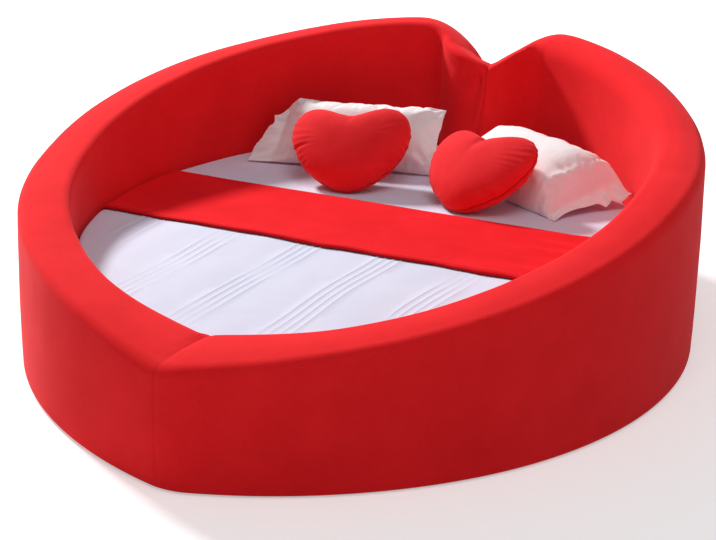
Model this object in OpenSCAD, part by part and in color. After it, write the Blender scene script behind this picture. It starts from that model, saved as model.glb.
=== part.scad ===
// Heart-shaped upholstered bed: two padded wall halves bolted together at the notch and at the foot point,
// a slatted deck, a heart-shaped mattress with its bedspread and runner, two pillows and two heart cushions.
// Millimetres, +Z up, head and notch towards +Y, origin on the floor under the middle of the outline.

/* [Outline] */
// Overall width across the upholstered walls
bed_w = 2200; // [2100:10:2350]
// Overall length from the foot point to the tops of the lobes
bed_l = 2628; // [2580:4:2720]
// Distance from the widest line to the tops of the lobes
head_l = 1261; // [1200:1:1300]
// Radius of each lobe at the head
lobe_r = 235; // [225:1:270]
// Depth of the notch below the tops of the lobes
notch_depth = 118; // [90:1:150]
// Radius of the valley in the notch
notch_r = 12; // [6:1:24]
// How full the sides are towards the foot, as a share of the radius that a parabola of that width and length has
foot_side_share = 1.622; // [1.56:0.002:1.7]
// Slope of the sides where the foot arcs begin, as a share of the slope straight to the foot point
foot_turn_share = 1.08; // [1.02:0.01:1.14]
// Radius of the outer corner at the foot point
tip_r = 210; // [150:5:260]
// Least radius of an inner corner at the foot point
tip_inner_r = 30; // [15:1:50]

/* [Wall] */
// Thickness of the padded wall from face to face
wall_t = 171; // [150:1:190]
// Height of the rim at the foot point
foot_h = 371; // [362:1:420]
// Height of the rim at the head, before the notch takes its dip
head_h = 828; // [700:1:950]
// How much the rim dips at the notch
dip_h = 111; // [0:1:160]
// Half width of that dip
dip_w = 193; // [120:1:260]
// Radius of the outer edge of the rim
rim_outer_r = 45; // [25:1:55]
// Radius of the inner edge of the rim
rim_inner_r = 35; // [20:1:50]
// How much lower the outer edge of the rim lies than the inner edge
rim_drop = 20; // [0:1:30]
// Depth of the foam block under the top of the rim
rim_foam_h = 72; // [66:1:90]
// Thickness of the foam on the faces of the wall
foam_t = 20; // [10:1:30]
// Thickness of the red covering fabric
fabric_t = 2; // [1:0.5:3]
// Thickness of the bent plywood skins
skin_t = 5; // [3:1:9]
// Thickness of the top rail
rail_t = 12; // [9:1:18]
// Thickness of the floor ring
ring_t = 18; // [12:1:25]
// Thickness of the plywood ribs and of the end formers
rib_t = 18; // [12:1:24]

/* [Deck] */
// Height of the top of the slats above the floor
deck_h = 160; // [140:1:190]
// Thickness of a slat
slat_t = 20; // [16:1:24]
// Width of a slat
slat_w = 90; // [70:1:110]
// Distance from the foot point to the middle of the first slat
first_slat = 224; // [215:1:260]
// Distance from the notch ridge to the middle of the last slat
last_slat = 100; // [90:1:160]
// Width of the ledge that carries the slats
ledge_w = 40; // [30:1:50]
// Height of the ledge
ledge_h = 40; // [30:1:50]
// Width of the centre beam
beam_w = 60; // [40:1:90]
// Height of the centre beam
beam_h = 70; // [50:1:90]
// Side of a square centre leg
leg_w = 56; // [40:1:60]
// Height of the plastic glides
glide_h = 6; // [4:1:12]
// Radius of the plastic glides
glide_r = 18; // [10:1:24]

/* [Mattress] */
// Height of the mattress with its cover
mattress_h = 190; // [170:1:195]
// Thickness of the mattress cover
ticking_t = 3; // [2:0.5:5]
// Gap all round between the mattress with its linen and the wall
mattress_gap = 4; // [3:0.5:10]
// Thickness of the white bedspread
spread_t = 2.5; // [1.5:0.5:5]
// How far the bedspread hangs down beside the mattress
spread_drop = 110; // [60:1:150]
// Radius of the edge of the bedspread
spread_edge_r = 22; // [15:1:30]
// Height of a pin tuck
tuck_h = 2; // [1:0.5:3]
// Width of a pin tuck
tuck_w = 6; // [4:1:8]
// Distance between the tucks of a group
tuck_pitch = 27; // [18:1:32]
// Distance between the groups of tucks
tuck_group_pitch = 285; // [240:5:320]
// Thickness of the red runner
runner_t = 1.5; // [1:0.5:3]
// Edge of the runner nearer to the foot, from the middle of the bed
runner_near = -158; // [-220:1:-100]
// Edge of the runner nearer to the head, from the middle of the bed
runner_far = 326; // [260:1:340]
// How far the runner hangs down at its ends
runner_drop = 80; // [40:1:120]
// Height of the soft folds in the runner
runner_fold = 7; // [0:1:12]

/* [Pillows] */
// Width of a pillow with its flange
pillow_w = 656; // [560:2:680]
// Depth of a pillow with its flange
pillow_l = 350; // [320:2:400]
// Thickness of a pillow at its crown
pillow_h = 160; // [130:1:190]
// Width of the flat flange round a pillowcase
flange_w = 30; // [15:1:50]
// Thickness of the flange
flange_t = 4; // [3:0.5:8]
// Thickness of the pillowcase
case_t = 3; // [2:0.5:4]

/* [Heart cushions] */
// Width of a heart cushion
heart_w = 435; // [380:5:470]
// Length of a heart cushion from its lobes to its point
heart_l = 345; // [310:5:380]
// Thickness of a heart cushion at its crown
heart_h = 150; // [100:5:180]
// Thickness of the cover of a heart cushion
heart_cover_t = 3; // [2:0.5:4]

/* [Fasteners] */
// Radius of the shank of a joining bolt
bolt_r = 5; // [3:0.5:6]
// Radius across the corners of a bolt head and of a nut
hex_r = 9.2; // [7:0.1:11]
// Height of a bolt head and of a nut
hex_h = 7; // [4:0.5:9]
// Radius of a washer
washer_r = 12; // [9.5:0.5:16]
// Thickness of a washer
washer_t = 2; // [1:0.5:3]
// Radius of the shank of a slat screw
screw_r = 2.2; // [1.5:0.1:3]
// Radius of the head of a slat screw
screw_head_r = 4.5; // [3.5:0.1:6]
// Height of the head of a slat screw
screw_head_h = 3; // [2:0.5:4]
// Length of a slat screw
screw_l = 45; // [35:1:50]

/* [Hidden] */

red = "#d8262c";
dark_red = "#a81418";
white = "#eceef8";
cream = "#e8dcda";
foam_colour = "#ece0b8";
ply = "#c9a06a";
pine = "#dcb888";
steel = "#9aa0a6";
black = "#2a2a2c";
$fn = 32;

// Clearances between pieces
seat_gap = 0.3;
seam = 0.3;
layer_gap = 0.5;
rim_seat_gap = 1.4;
core_top_gap = 2;
bore_gap = 0.5;
thread_gap = 0.05;
end_gap = 6;
pad_gap = 4;
overrun = 1;

// Places across the wall, measured inwards from its outer face
outer_foam_u = fabric_t + seat_gap;
outer_skin_u = outer_foam_u + foam_t + seat_gap;
core_u = outer_skin_u + skin_t + seat_gap;
inner_face_u = wall_t - fabric_t - seat_gap;
inner_skin_u = inner_face_u - foam_t - seat_gap;
core_end_u = inner_skin_u - skin_t - seat_gap;
core_mid_u = (core_u + core_end_u) / 2;
ledge_u = inner_skin_u + seat_gap;
ledge_end_u = ledge_u + ledge_w;
slat_end_u = ledge_u + end_gap;
screw_u = ledge_u + ledge_w / 2;
runner_u = wall_t + mattress_gap;
runner_back_u = runner_u + runner_t;
spread_u = runner_back_u + layer_gap;
ticking_u = spread_u + spread_t + layer_gap;
core_foam_u = ticking_u + ticking_t + seat_gap;

// Heights
ring_z = glide_h;
ring_top_z = ring_z + ring_t;
hem_z = glide_h - seat_gap - fabric_t;
slat_z = deck_h - slat_t;
pad_z = deck_h + pad_gap;
mattress_z = deck_h + seat_gap;
mattress_top_z = mattress_z + mattress_h;
spread_top_z = mattress_top_z + layer_gap + spread_t;
runner_z = spread_top_z + tuck_h + layer_gap;
rail_drop = rim_foam_h + rim_seat_gap;
core_drop = rail_drop + rail_t + seat_gap;

// Hem of the wall cover under the floor ring, and its rounded foot
hem_w = 45;
hem_r = 12;

// The outline, as arcs in a frame whose widest line lies at y = 0
half_w = (bed_w - seam) / 2;
widest_y = bed_l / 2 - head_l;
foot_l = bed_l - head_l;
lobe_y = head_l - lobe_r;
notch_y = head_l + notch_r - notch_depth;
lobe_x = sqrt(pow(lobe_r + notch_r, 2) - pow(notch_y - lobe_y, 2));
lobe_reach = half_w - lobe_x;
head_side_r = (pow(lobe_reach, 2) + pow(lobe_y, 2) - pow(lobe_r, 2)) / (2 * (lobe_reach - lobe_r));
head_side_c = [half_w - head_side_r, 0];
head_side_turn = atan2(lobe_y, lobe_x - head_side_c.x);
notch_turn = atan2(notch_y - lobe_y, -lobe_x);
foot_side_r = foot_side_share * pow(foot_l, 2) / (2 * half_w);
foot_side_turn = atan(foot_turn_share * half_w / foot_l);
foot_side_c = [half_w - foot_side_r, 0];
foot_join_dir = [cos(foot_side_turn), -sin(foot_side_turn)];
foot_join = foot_side_c + foot_side_r * foot_join_dir;
tip_c = [0, tip_r - foot_l];
tip_reach = tip_c - foot_join;
foot_arc_r = (tip_reach * tip_reach - pow(tip_r, 2)) / (-2 * (tip_reach * foot_join_dir + tip_r));
foot_arc_c = foot_join - foot_arc_r * foot_join_dir;

// Steps along each arc, from the notch to the foot point
notch_steps = 2;
lobe_back_steps = 3;
lobe_side_steps = 2;
head_side_steps = 12;
foot_side_steps = 7;
foot_arc_steps = 6;
tip_steps = 2;

function arc(c, r, from, to, steps) =
    [for (i = [1:steps]) let (a = from + (to - from) * i / steps) c + r * [cos(a), sin(a)]];

// Half of the outline, moved inwards by u, from the notch round the right lobe to the foot point
function path(u) =
    let (
        tip_u = max(tip_r - u, tip_inner_r),
        arm = foot_arc_r - u - tip_u,
        tip_y = foot_arc_c.y - sqrt(pow(arm, 2) - pow(foot_arc_c.x, 2)),
        tip_turn = atan2(tip_y - foot_arc_c.y, -foot_arc_c.x),
        raw = concat(
            [[0, notch_y - notch_r - u]],
            arc([0, notch_y], notch_r + u, -90, notch_turn - 180, notch_steps),
            arc([lobe_x, lobe_y], lobe_r - u, notch_turn, 90, lobe_back_steps),
            arc([lobe_x, lobe_y], lobe_r - u, 90, head_side_turn, lobe_side_steps),
            arc(head_side_c, head_side_r - u, head_side_turn, 0, head_side_steps),
            arc(foot_side_c, foot_side_r - u, 0, -foot_side_turn, foot_side_steps),
            arc(foot_arc_c, foot_arc_r - u, -foot_side_turn, tip_turn, foot_arc_steps),
            arc([0, tip_y], tip_u, tip_turn, -90, tip_steps)
        )
    )
    [for (p = raw) [p.x, p.y + widest_y]];

outline = path(0);
stations = len(outline);
last = stations - 1;

// Half width of the outline at y, moved inwards by u
function side_x(y, u) =
    let (w = y - widest_y, join_y = -(foot_side_r - u) * sin(foot_side_turn))
    w >= 0 ? head_side_c.x + sqrt(pow(head_side_r - u, 2) - pow(w, 2)) :
    w > join_y ? foot_side_c.x + sqrt(pow(foot_side_r - u, 2) - pow(w, 2)) :
    foot_arc_c.x + sqrt(pow(foot_arc_r - u, 2) - pow(w - foot_arc_c.y, 2));

// Place along Y of the foot arc over x, moved inwards by u
function foot_y(x, u) = widest_y + foot_arc_c.y - sqrt(pow(foot_arc_r - u, 2) - pow(x - foot_arc_c.x, 2));

// The whole outline, moved inwards by u, as one closed loop
function loop(u) =
    let (half = path(u))
    concat(half, [for (i = [last - 1:-1:1]) [-half[i].x, half[i].y]]);

// Height of the rim over each station of the outline
rise_power = 0.83;
function rim_at(p) =
    let (t = (p.y + bed_l / 2) / bed_l, dip = p.y > widest_y ? dip_h * exp(-pow(p.x / dip_w, 2)) : 0)
    foot_h + (head_h - foot_h) * pow(max(t, 0), rise_power) - dip;
rim = [for (p = outline) rim_at(p)];

// Cross-sections of the wall are lists of [u, z, follows]: z counts from the rim where follows is 1
rim_steps = 3;
rim_crown = 3;
function top_profile(d) =
    concat(
        [for (i = [0:rim_steps]) let (a = 180 - 90 * i / rim_steps)
            [rim_outer_r + (rim_outer_r - d) * cos(a), (rim_outer_r - d) * sin(a) - rim_outer_r - rim_drop, 1]],
        [[wall_t / 2, rim_crown - rim_drop / 2 - d, 1]],
        [for (i = [rim_steps:-1:0]) let (a = 90 * i / rim_steps)
            [wall_t - rim_inner_r + (rim_inner_r - d) * cos(a), (rim_inner_r - d) * sin(a) - rim_inner_r, 1]]
    );
function foot_profile(d) =
    [for (i = [0:2]) [hem_r - (hem_r - d) * sin(45 * i), hem_z + hem_r - (hem_r - d) * cos(45 * i), 0]];
function cover_profile(d) =
    concat(
        [[hem_w, hem_z + d, 0]],
        foot_profile(d),
        top_profile(d),
        [[wall_t - d, pad_z, 0]]
    );

function reversed(v) = [for (i = [len(v) - 1:-1:0]) v[i]];

// Sweeps a closed cross-section along half of the outline; ends lists the triangles that close its two ends
module sweep(section, ends) {
    m = len(section);
    lines = [for (s = section) path(s[0])];
    points = [for (i = [0:last]) for (j = [0:m - 1])
        [lines[j][i].x, lines[j][i].y, section[j][1] + section[j][2] * rim[i]]];
    sides = [for (i = [0:last - 1]) for (j = [0:m - 1])
        let (k = (j + 1) % m, a = i * m, b = a + m, outwards = section[j][0] > section[k][0])
        for (f = outwards ? [[a + j, b + j, a + k], [b + j, b + k, a + k]] :
            [[a + j, b + j, b + k], [a + j, b + k, a + k]]) f];
    start = [for (e = ends) [e[0], e[1], e[2]]];
    stop = [for (e = ends) [e[2] + last * m, e[1] + last * m, e[0] + last * m]];
    polyhedron(points, concat(sides, start, stop), convexity = 6);
}

// A convex cross-section
module sweep_bar(section) {
    sweep(section, [for (j = [1:len(section) - 2]) [0, j, j + 1]]);
}

// A thin cross-section between an outer line and an inner line with as many points
module sweep_shell(outer, inner) {
    n = len(outer);
    m = 2 * n;
    sweep(
        concat(outer, reversed(inner)),
        [for (j = [0:n - 2]) for (e = [[j, j + 1, m - 2 - j], [j, m - 2 - j, m - 1 - j]]) e]
    );
}

// One half of the wall: the right one is as drawn, the left one is mirrored
module half(side) {
    mirror([side == "left" ? 1 : 0, 0, 0])
        translate([seam / 2, 0, 0])
            children();
}

// A flat piece that follows half of the wall from inset a to inset b
module band(a, b, z, h) {
    translate([0, 0, z])
        linear_extrude(h)
            polygon(concat(path(a), reversed(path(b))));
}

// A flat heart-shaped slab at inset u
module slab(u, z, h) {
    translate([0, 0, z])
        linear_extrude(h)
            polygon(loop(u));
}

// Floor ring
module base_ring(side) {
    color(ply)
        half(side)
            band(core_u, core_end_u, ring_z, ring_t);
}

// Ribs across the wall, at chosen stations
rib_stations = [5, 9, 13, 17, 21, 25, 29];
module ribs(side) {
    color(ply)
        half(side)
            for (i = rib_stations) {
                p = path(core_u)[i];
                inner = path(core_end_u);
                q = inner[i];
                falls = [for (k = [i - 1, i]) abs(rim[k + 1] - rim[k]) / norm(inner[k + 1] - inner[k])];
                top = rim[i] - core_drop - core_top_gap - max(falls) * rib_t / 2;
                intersection() {
                    band(core_u, core_end_u, ring_top_z, top - ring_top_z);
                    translate([p.x, p.y, ring_top_z])
                        rotate([0, 0, atan2(q.y - p.y, q.x - p.x)])
                            translate([-wall_t / 2, -rib_t / 2, 0])
                                cube([2 * wall_t, rib_t, head_h]);
                }
            }
}

// End formers, which are bolted together in pairs
tip_bolt_shares = [0.22, 0.68];
notch_bolt_shares = [0.17, 0.5, 0.83];
tip_bolt_y = path(core_mid_u)[last].y;
notch_bolt_y = path(core_mid_u)[0].y;
function former_top(i) = rim[i] - core_drop - core_top_gap;
function bolt_heights(i, shares) = [for (s = shares) ring_top_z + s * (former_top(i) - ring_top_z)];
tip_bolt_z = bolt_heights(last, tip_bolt_shares);
notch_bolt_z = bolt_heights(0, notch_bolt_shares);
module former(i, side, bolt_y, bolt_z) {
    color(ply)
        difference() {
            half(side)
                intersection() {
                    band(core_u, core_end_u, ring_top_z, former_top(i) - ring_top_z);
                    translate([0, path(core_end_u)[i].y - wall_t, ring_top_z])
                        cube([rib_t, 3 * wall_t, head_h]);
                }
            for (z = bolt_z)
                translate([-2 * rib_t, bolt_y, z])
                    rotate([0, 90, 0])
                        cylinder(h = 4 * rib_t, r = bolt_r + bore_gap);
        }
}
module tip_former(side) {
    former(last, side, tip_bolt_y, tip_bolt_z);
}
module notch_former(side) {
    former(0, side, notch_bolt_y, notch_bolt_z);
}

// Bent plywood skins on both sides of the ribs
module skin(side, u) {
    color(ply)
        half(side)
            sweep_bar([
                [u, ring_z, 0],
                [u, -rail_drop, 1],
                [u + skin_t, -rail_drop, 1],
                [u + skin_t, ring_z, 0]
            ]);
}
module outer_skin(side) {
    skin(side, outer_skin_u);
}
module inner_skin(side) {
    skin(side, inner_skin_u - skin_t);
}

// Rail on top of the ribs
module top_rail(side) {
    color(ply)
        half(side)
            sweep_bar([
                [core_u, -rail_drop - rail_t, 1],
                [core_u, -rail_drop, 1],
                [core_end_u, -rail_drop, 1],
                [core_end_u, -rail_drop - rail_t, 1]
            ]);
}

// Foam on the outer face, on the inner face and on the rim
module face_foam(side, foot, u) {
    color(foam_colour)
        half(side)
            sweep_bar(concat(
                foot,
                [[u, -rail_drop, 1], [u + foam_t, -rail_drop, 1], [u + foam_t, foot[0][1], 0]]
            ));
}
module outer_foam(side) {
    face_foam(side, foot_profile(outer_foam_u), outer_foam_u);
}
module inner_foam(side) {
    u = inner_face_u - foam_t;
    face_foam(side, [[u, pad_z, 0]], u);
}
module rim_foam(side) {
    d = fabric_t + seat_gap;
    color(foam_colour)
        half(side)
            sweep_bar(concat([[d, -rim_foam_h, 1]], top_profile(d), [[wall_t - d, -rim_foam_h, 1]]));
}

// Red covers, one sewn piece over each half of the wall
module cover(side) {
    color(red)
        half(side)
            sweep_shell(cover_profile(0), cover_profile(fabric_t));
}

// Joining bolts, washers and nuts, along X through both formers
bolt_head_x = rib_t + seam / 2 + washer_t;
bolt_l = 2 * bolt_head_x + hex_h + washer_t;
module at_bolts() {
    for (z = tip_bolt_z)
        translate([0, tip_bolt_y, z])
            children();
    for (z = notch_bolt_z)
        translate([0, notch_bolt_y, z])
            children();
}
module joining_bolts() {
    color(steel)
        at_bolts()
            rotate([0, 90, 0]) {
                translate([0, 0, bolt_head_x])
                    cylinder(h = hex_h, r = hex_r, $fn = 6);
                translate([0, 0, bolt_head_x - bolt_l])
                    cylinder(h = bolt_l, r = bolt_r);
            }
}
module joining_washers() {
    color(steel)
        at_bolts()
            for (s = [-1, 1])
                translate([s * (bolt_head_x - washer_t / 2), 0, 0])
                    rotate([0, 90, 0])
                        difference() {
                            cylinder(h = washer_t, r = washer_r, center = true);
                            cylinder(h = washer_t + overrun, r = bolt_r + bore_gap, center = true);
                        }
}
module joining_nuts() {
    color(steel)
        at_bolts()
            rotate([0, -90, 0])
                translate([0, 0, bolt_head_x])
                    difference() {
                        cylinder(h = hex_h, r = hex_r, $fn = 6);
                        translate([0, 0, -overrun])
                            cylinder(h = hex_h + 2 * overrun, r = bolt_r + thread_gap);
                    }
}

// Slats, numbered from the foot, with a screw in each end and one in the middle
slat_count = 12;
slat_foot_y = first_slat - bed_l / 2;
slat_head_y = path(slat_end_u)[0].y - last_slat;
function slat_y(i) = slat_foot_y + (slat_head_y - slat_foot_y) * (i - 1) / (slat_count - 1);
function screw_places(i) = [for (x = [-1, 0, 1]) [x * side_x(slat_y(i), screw_u), slat_y(i)]];
module slat(i) {
    color(pine)
        difference() {
            intersection() {
                slab(slat_end_u, slat_z, slat_t);
                translate([-bed_w / 2, slat_y(i) - slat_w / 2, slat_z])
                    cube([bed_w, slat_w, slat_t]);
            }
            for (p = screw_places(i))
                translate([p.x, p.y, deck_h]) {
                    translate([0, 0, -slat_t - overrun])
                        cylinder(h = slat_t + overrun, r = screw_r + bore_gap);
                    translate([0, 0, -screw_head_h - seat_gap])
                        cylinder(h = screw_head_h + overrun, r = screw_head_r + bore_gap);
                }
        }
}
module slat_screws() {
    color(steel)
        for (i = [1:slat_count])
            for (p = screw_places(i))
                translate([p.x, p.y, deck_h - seat_gap]) {
                    translate([0, 0, -screw_head_h])
                        cylinder(h = screw_head_h, r = screw_head_r);
                    translate([0, 0, -screw_l])
                        cylinder(h = screw_l - screw_head_h, r = screw_r);
                }
}
module pilot_holes(places) {
    for (p = places)
        translate([p.x, p.y, deck_h - screw_l - overrun])
            cylinder(h = screw_l, r = screw_r + thread_gap);
}

// Ledge inside the wall, under the ends of the slats
module slat_ledge(side) {
    keep = side == "left" ? 0 : 2;
    color(pine)
        difference() {
            half(side)
                band(ledge_u, ledge_end_u, slat_z - ledge_h, ledge_h);
            for (i = [1:slat_count])
                pilot_holes([screw_places(i)[keep]]);
        }
}

// Centre beam under the slats, on three legs
beam_foot_y = foot_y(beam_w / 2, ledge_end_u) + end_gap;
beam_head_y = path(ledge_end_u)[0].y - end_gap;
beam_z = slat_z - beam_h;
leg_shares = [0.15, 0.5, 0.85];
module centre_beam() {
    color(pine)
        difference() {
            translate([-beam_w / 2, beam_foot_y, beam_z])
                cube([beam_w, beam_head_y - beam_foot_y, beam_h]);
            for (i = [1:slat_count])
                pilot_holes([screw_places(i)[1]]);
        }
}
function leg_y(i) = beam_foot_y + (beam_head_y - beam_foot_y) * leg_shares[i - 1];
module centre_leg(i) {
    color(pine)
        translate([-leg_w / 2, leg_y(i) - leg_w / 2, glide_h])
            cube([leg_w, leg_w, beam_z - glide_h]);
}

// Plastic glides under the legs and under the floor ring
module leg_glides() {
    color(black)
        for (i = [1:len(leg_shares)])
            translate([0, leg_y(i), 0])
                cylinder(h = glide_h, r = glide_r);
}
glide_stations = [3, 9, 15, 19, 25, 31];
module wall_glides() {
    color(black)
        for (side = ["left", "right"])
            half(side)
                for (i = glide_stations)
                    translate(path(core_mid_u)[i])
                        cylinder(h = glide_h, r = glide_r);
}

// A stack of heart-shaped loops, given as [u, z]; its bottom and its top are fans from the foot point
module heart_stack(rings) {
    loops = [for (r = rings) loop(r[0])];
    n = len(loops[0]);
    points = [for (k = [0:len(rings) - 1]) for (p = loops[k]) [p.x, p.y, rings[k][1]]];
    sides = [for (k = [0:len(rings) - 2]) for (j = [0:n - 1])
        let (a = k * n, b = a + n, m = (j + 1) % n)
        for (f = [[a + j, b + m, b + j], [a + j, a + m, b + m]]) f];
    top = (len(rings) - 1) * n;
    caps = [for (j = [0:n - 1]) if (j != last && j != last - 1)
        let (m = (j + 1) % n)
        for (f = [[last, m, j], [top + last, top + j, top + m]]) f];
    polyhedron(points, concat(sides, caps), convexity = 6);
}
edge_steps = 2;
function edge_rings(u, z, r) =
    [for (i = [0:edge_steps]) let (a = 90 * i / edge_steps) [u + r * (1 - cos(a)), z - r * (1 - sin(a))]];
module rounded_heart(u, bottom_z, top_z, r) {
    heart_stack(concat([[u, bottom_z]], edge_rings(u, top_z, r)));
}

// Mattress: a foam heart inside a closed cover, with a rounded upper edge
ticking_r = spread_edge_r - spread_t - layer_gap;
module mattress_core() {
    in = ticking_t + seat_gap;
    color(foam_colour)
        rounded_heart(core_foam_u, mattress_z + in, mattress_top_z - in, ticking_r - in);
}
module mattress_cover() {
    in = ticking_t;
    color(white)
        difference() {
            rounded_heart(ticking_u, mattress_z, mattress_top_z, ticking_r);
            rounded_heart(ticking_u + in, mattress_z + in, mattress_top_z - in, ticking_r - in);
        }
}

// White bedspread with groups of pin tucks on its foot part
tucks_in_group = 4;
tuck_groups = 6;
tuck_foot_gap = 90;
tuck_lap = 60;
function tuck_x(g, k) =
    (g - (tuck_groups - 1) / 2) * tuck_group_pitch + (k - (tucks_in_group - 1) / 2) * tuck_pitch;
module tuck(x) {
    translate([x, runner_near + tuck_lap, spread_top_z])
        rotate([90, 0, 0])
            linear_extrude(foot_l)
                polygon([[-tuck_w / 2, -spread_t / 2], [0, tuck_h], [tuck_w / 2, -spread_t / 2]]);
}
module bedspread() {
    hem = spread_top_z - spread_drop;
    in = spread_t;
    color(white) {
        difference() {
            rounded_heart(spread_u, hem, spread_top_z, spread_edge_r);
            rounded_heart(spread_u + in, hem - overrun, spread_top_z - in, spread_edge_r - in);
        }
        intersection() {
            slab(spread_u + tuck_foot_gap, mattress_top_z, mattress_h);
            for (g = [0:tuck_groups - 1])
                for (k = [0:tucks_in_group - 1])
                    tuck(tuck_x(g, k));
        }
    }
}

// Red runner across the bed, with soft folds near its right end and its ends hanging down beside the mattress
runner_rows = 8;
runner_columns = 14;
fold_count = 2.5;
low_fold_share = 0.25;
function runner_fold_at(s, v) =
    runner_fold * pow(max(0, s), 2) * pow(sin(180 * fold_count * v), 2) * (1 - pow(s, 8))
    + low_fold_share * runner_fold * (1 - s * s);
function runner_row(y, d) =
    let (
        u = runner_back_u - d,
        r = spread_edge_r + layer_gap + d,
        z = runner_z + d,
        v = (y - runner_near) / (runner_far - runner_near),
        edge = [for (i = [0:edge_steps]) let (a = 90 * i / edge_steps)
            [side_x(y, u) - r * (1 - cos(a)), z - r * (1 - sin(a))]],
        flat = edge[edge_steps].x,
        side = concat([[edge[0].x, z - d - runner_drop]], edge)
    )
    concat(
        [for (p = side) [-p.x, y, p.y]],
        [for (i = [1:runner_columns - 1]) let (s = 2 * i / runner_columns - 1)
            [s * flat, y, z + runner_fold_at(s, v)]],
        [for (p = reversed(side)) [p.x, y, p.y]]
    );
module bed_runner() {
    ys = [for (i = [0:runner_rows]) runner_near + (runner_far - runner_near) * i / runner_rows];
    top = [for (y = ys) runner_row(y, runner_t)];
    under = [for (y = ys) runner_row(y, 0)];
    n = len(top[0]);
    count = (runner_rows + 1) * n;
    points = concat([for (row = top) for (p = row) p], [for (row = under) for (p = row) p]);
    grid = [for (i = [0:runner_rows - 1]) for (j = [0:n - 2])
        let (a = i * n + j, b = a + n)
        for (f = [[a, b, b + 1], [a, b + 1, a + 1], [count + a, count + b + 1, count + b],
                  [count + a, count + a + 1, count + b + 1]]) f];
    ends = [for (i = [0:runner_rows - 1])
        let (a = i * n, b = a + n, c = a + n - 1, d = b + n - 1)
        for (f = [[a, count + a, count + b], [a, count + b, b], [c, count + d, count + c], [c, d, count + d]]) f];
    hems = [for (j = [0:n - 2])
        let (a = j, b = runner_rows * n + j)
        for (f = [[a, a + 1, count + a + 1], [a, count + a + 1, count + a],
                  [b, count + b + 1, b + 1], [b, count + b, count + b + 1]]) f];
    color(red)
        polyhedron(points, concat(grid, ends, hems), convexity = 6);
}

// Turning of a list of points: within its own plane, up from the bed, and about Z
function turn_x(p, a) = [p.x, p.y * cos(a) - p.z * sin(a), p.y * sin(a) + p.z * cos(a)];
function turn_z(p, a) = [p.x * cos(a) - p.y * sin(a), p.x * sin(a) + p.y * cos(a), p.z];
function posed(points, pose) =
    [for (p = points) turn_z(turn_x(turn_z(p, pose[0]), pose[1]), pose[2]) + [pose[3], pose[4], 0]];
function low(points) = min([for (p = points) p.z]);
function raised(points, z) = [for (p = points) p + [0, 0, z]];

// Points of a pillow: a grid on top and one underneath, with sides that draw in between the corners
pillow_pull_share = 0.035;
under_share = 0.3;
crown_power = 3;
round_power = 0.6;
function crown(s) = pow(max(0, 1 - pow(min(1, abs(s)), crown_power)), round_power);
function pillow_lift(s, v, w, l, h, flange, edge_t) =
    let (bulge = crown(s * w / (w - 2 * flange)) * crown(v * l / (l - 2 * flange)))
    bulge * (h - edge_t) / (1 + under_share) + edge_t / 2;
function pillow_points(w, l, h, flange, edge_t, nx, ny) =
    [for (side = [1, -1]) for (i = [0:nx]) for (j = [0:ny])
        let (s = 2 * i / nx - 1, v = 2 * j / ny - 1, lift = pillow_lift(s, v, w, l, h, flange, edge_t))
        [
            s * w / 2 * (1 - pillow_pull_share * (1 - v * v)),
            v * l / 2 * (1 - pillow_pull_share * (1 - s * s)),
            side == 1 ? lift : -edge_t / 2 - (lift - edge_t / 2) * under_share
        ]];
function pillow_faces(nx, ny) =
    let (n = ny + 1, count = (nx + 1) * n)
    concat(
        [for (i = [0:nx - 1]) for (j = [0:ny - 1])
            let (a = i * n + j, b = a + n)
            for (f = [[a, a + 1, b + 1], [a, b + 1, b], [count + a, count + b + 1, count + a + 1],
                      [count + a, count + b, count + b + 1]]) f],
        [for (i = [0:nx - 1])
            let (a = i * n, b = a + n, c = a + ny, d = b + ny)
            for (f = [[a, b, count + b], [a, count + b, count + a],
                      [c, count + d, d], [c, count + c, count + d]]) f],
        [for (j = [0:ny - 1])
            let (a = j, b = nx * n + j)
            for (f = [[a, count + a + 1, a + 1], [a, count + a, count + a + 1],
                      [b, b + 1, count + b + 1], [b, count + b + 1, count + b]]) f]
    );

// A pose is a turn in the cushion's own plane, a tilt, a turn about Z, and the place of the middle in X and Y.
// The far outer corner of each pillow nearly touches the wall.
pillow_wall_gap = 5;
pillow_middle_shares = [1.055, 1.095];
function side_y(x, u) = widest_y + sqrt(pow(head_side_r - u, 2) - pow(x - head_side_c.x, 2));
function pillow_pose(side, tilt, turn, middle_share) =
    let (
        x = middle_share * pillow_w / 2,
        out = pillow_w / 2,
        back = pillow_l / 2 * cos(tilt),
        corner_x = x + out * cos(turn) - side * back * sin(turn),
        corner_y = side * out * sin(turn) + back * cos(turn)
    )
    [0, tilt, turn, side * x, side_y(corner_x + pillow_wall_gap, wall_t) - corner_y];
pillow_pose_left = pillow_pose(-1, 36, 12, pillow_middle_shares[0]);
pillow_pose_right = pillow_pose(1, 20, -27, pillow_middle_shares[1]);
case_columns = 12;
case_rows = 8;
fill_columns = 8;
fill_rows = 6;
edge_fill_t = 1.2;
function case_points() = pillow_points(pillow_w, pillow_l, pillow_h, flange_w, flange_t, case_columns, case_rows);
function pillow_rise(pose) = spread_top_z + layer_gap - low(posed(case_points(), pose));
function fill_points(d) =
    let (in_from_edge = 2 * (flange_w + case_t + d))
    pillow_points(
        pillow_w - in_from_edge, pillow_l - in_from_edge, pillow_h - 2 * (case_t + d), 0, edge_fill_t - 2 * d,
        fill_columns, fill_rows
    );
module pillow_filling(pose) {
    color(white)
        polyhedron(
            raised(posed(fill_points(seat_gap), pose), pillow_rise(pose)),
            pillow_faces(fill_columns, fill_rows)
        );
}
module pillowcase(pose) {
    rise = pillow_rise(pose);
    color(cream)
        difference() {
            polyhedron(raised(posed(case_points(), pose), rise), pillow_faces(case_columns, case_rows));
            polyhedron(raised(posed(fill_points(0), pose), rise), pillow_faces(fill_columns, fill_rows));
        }
}

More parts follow.
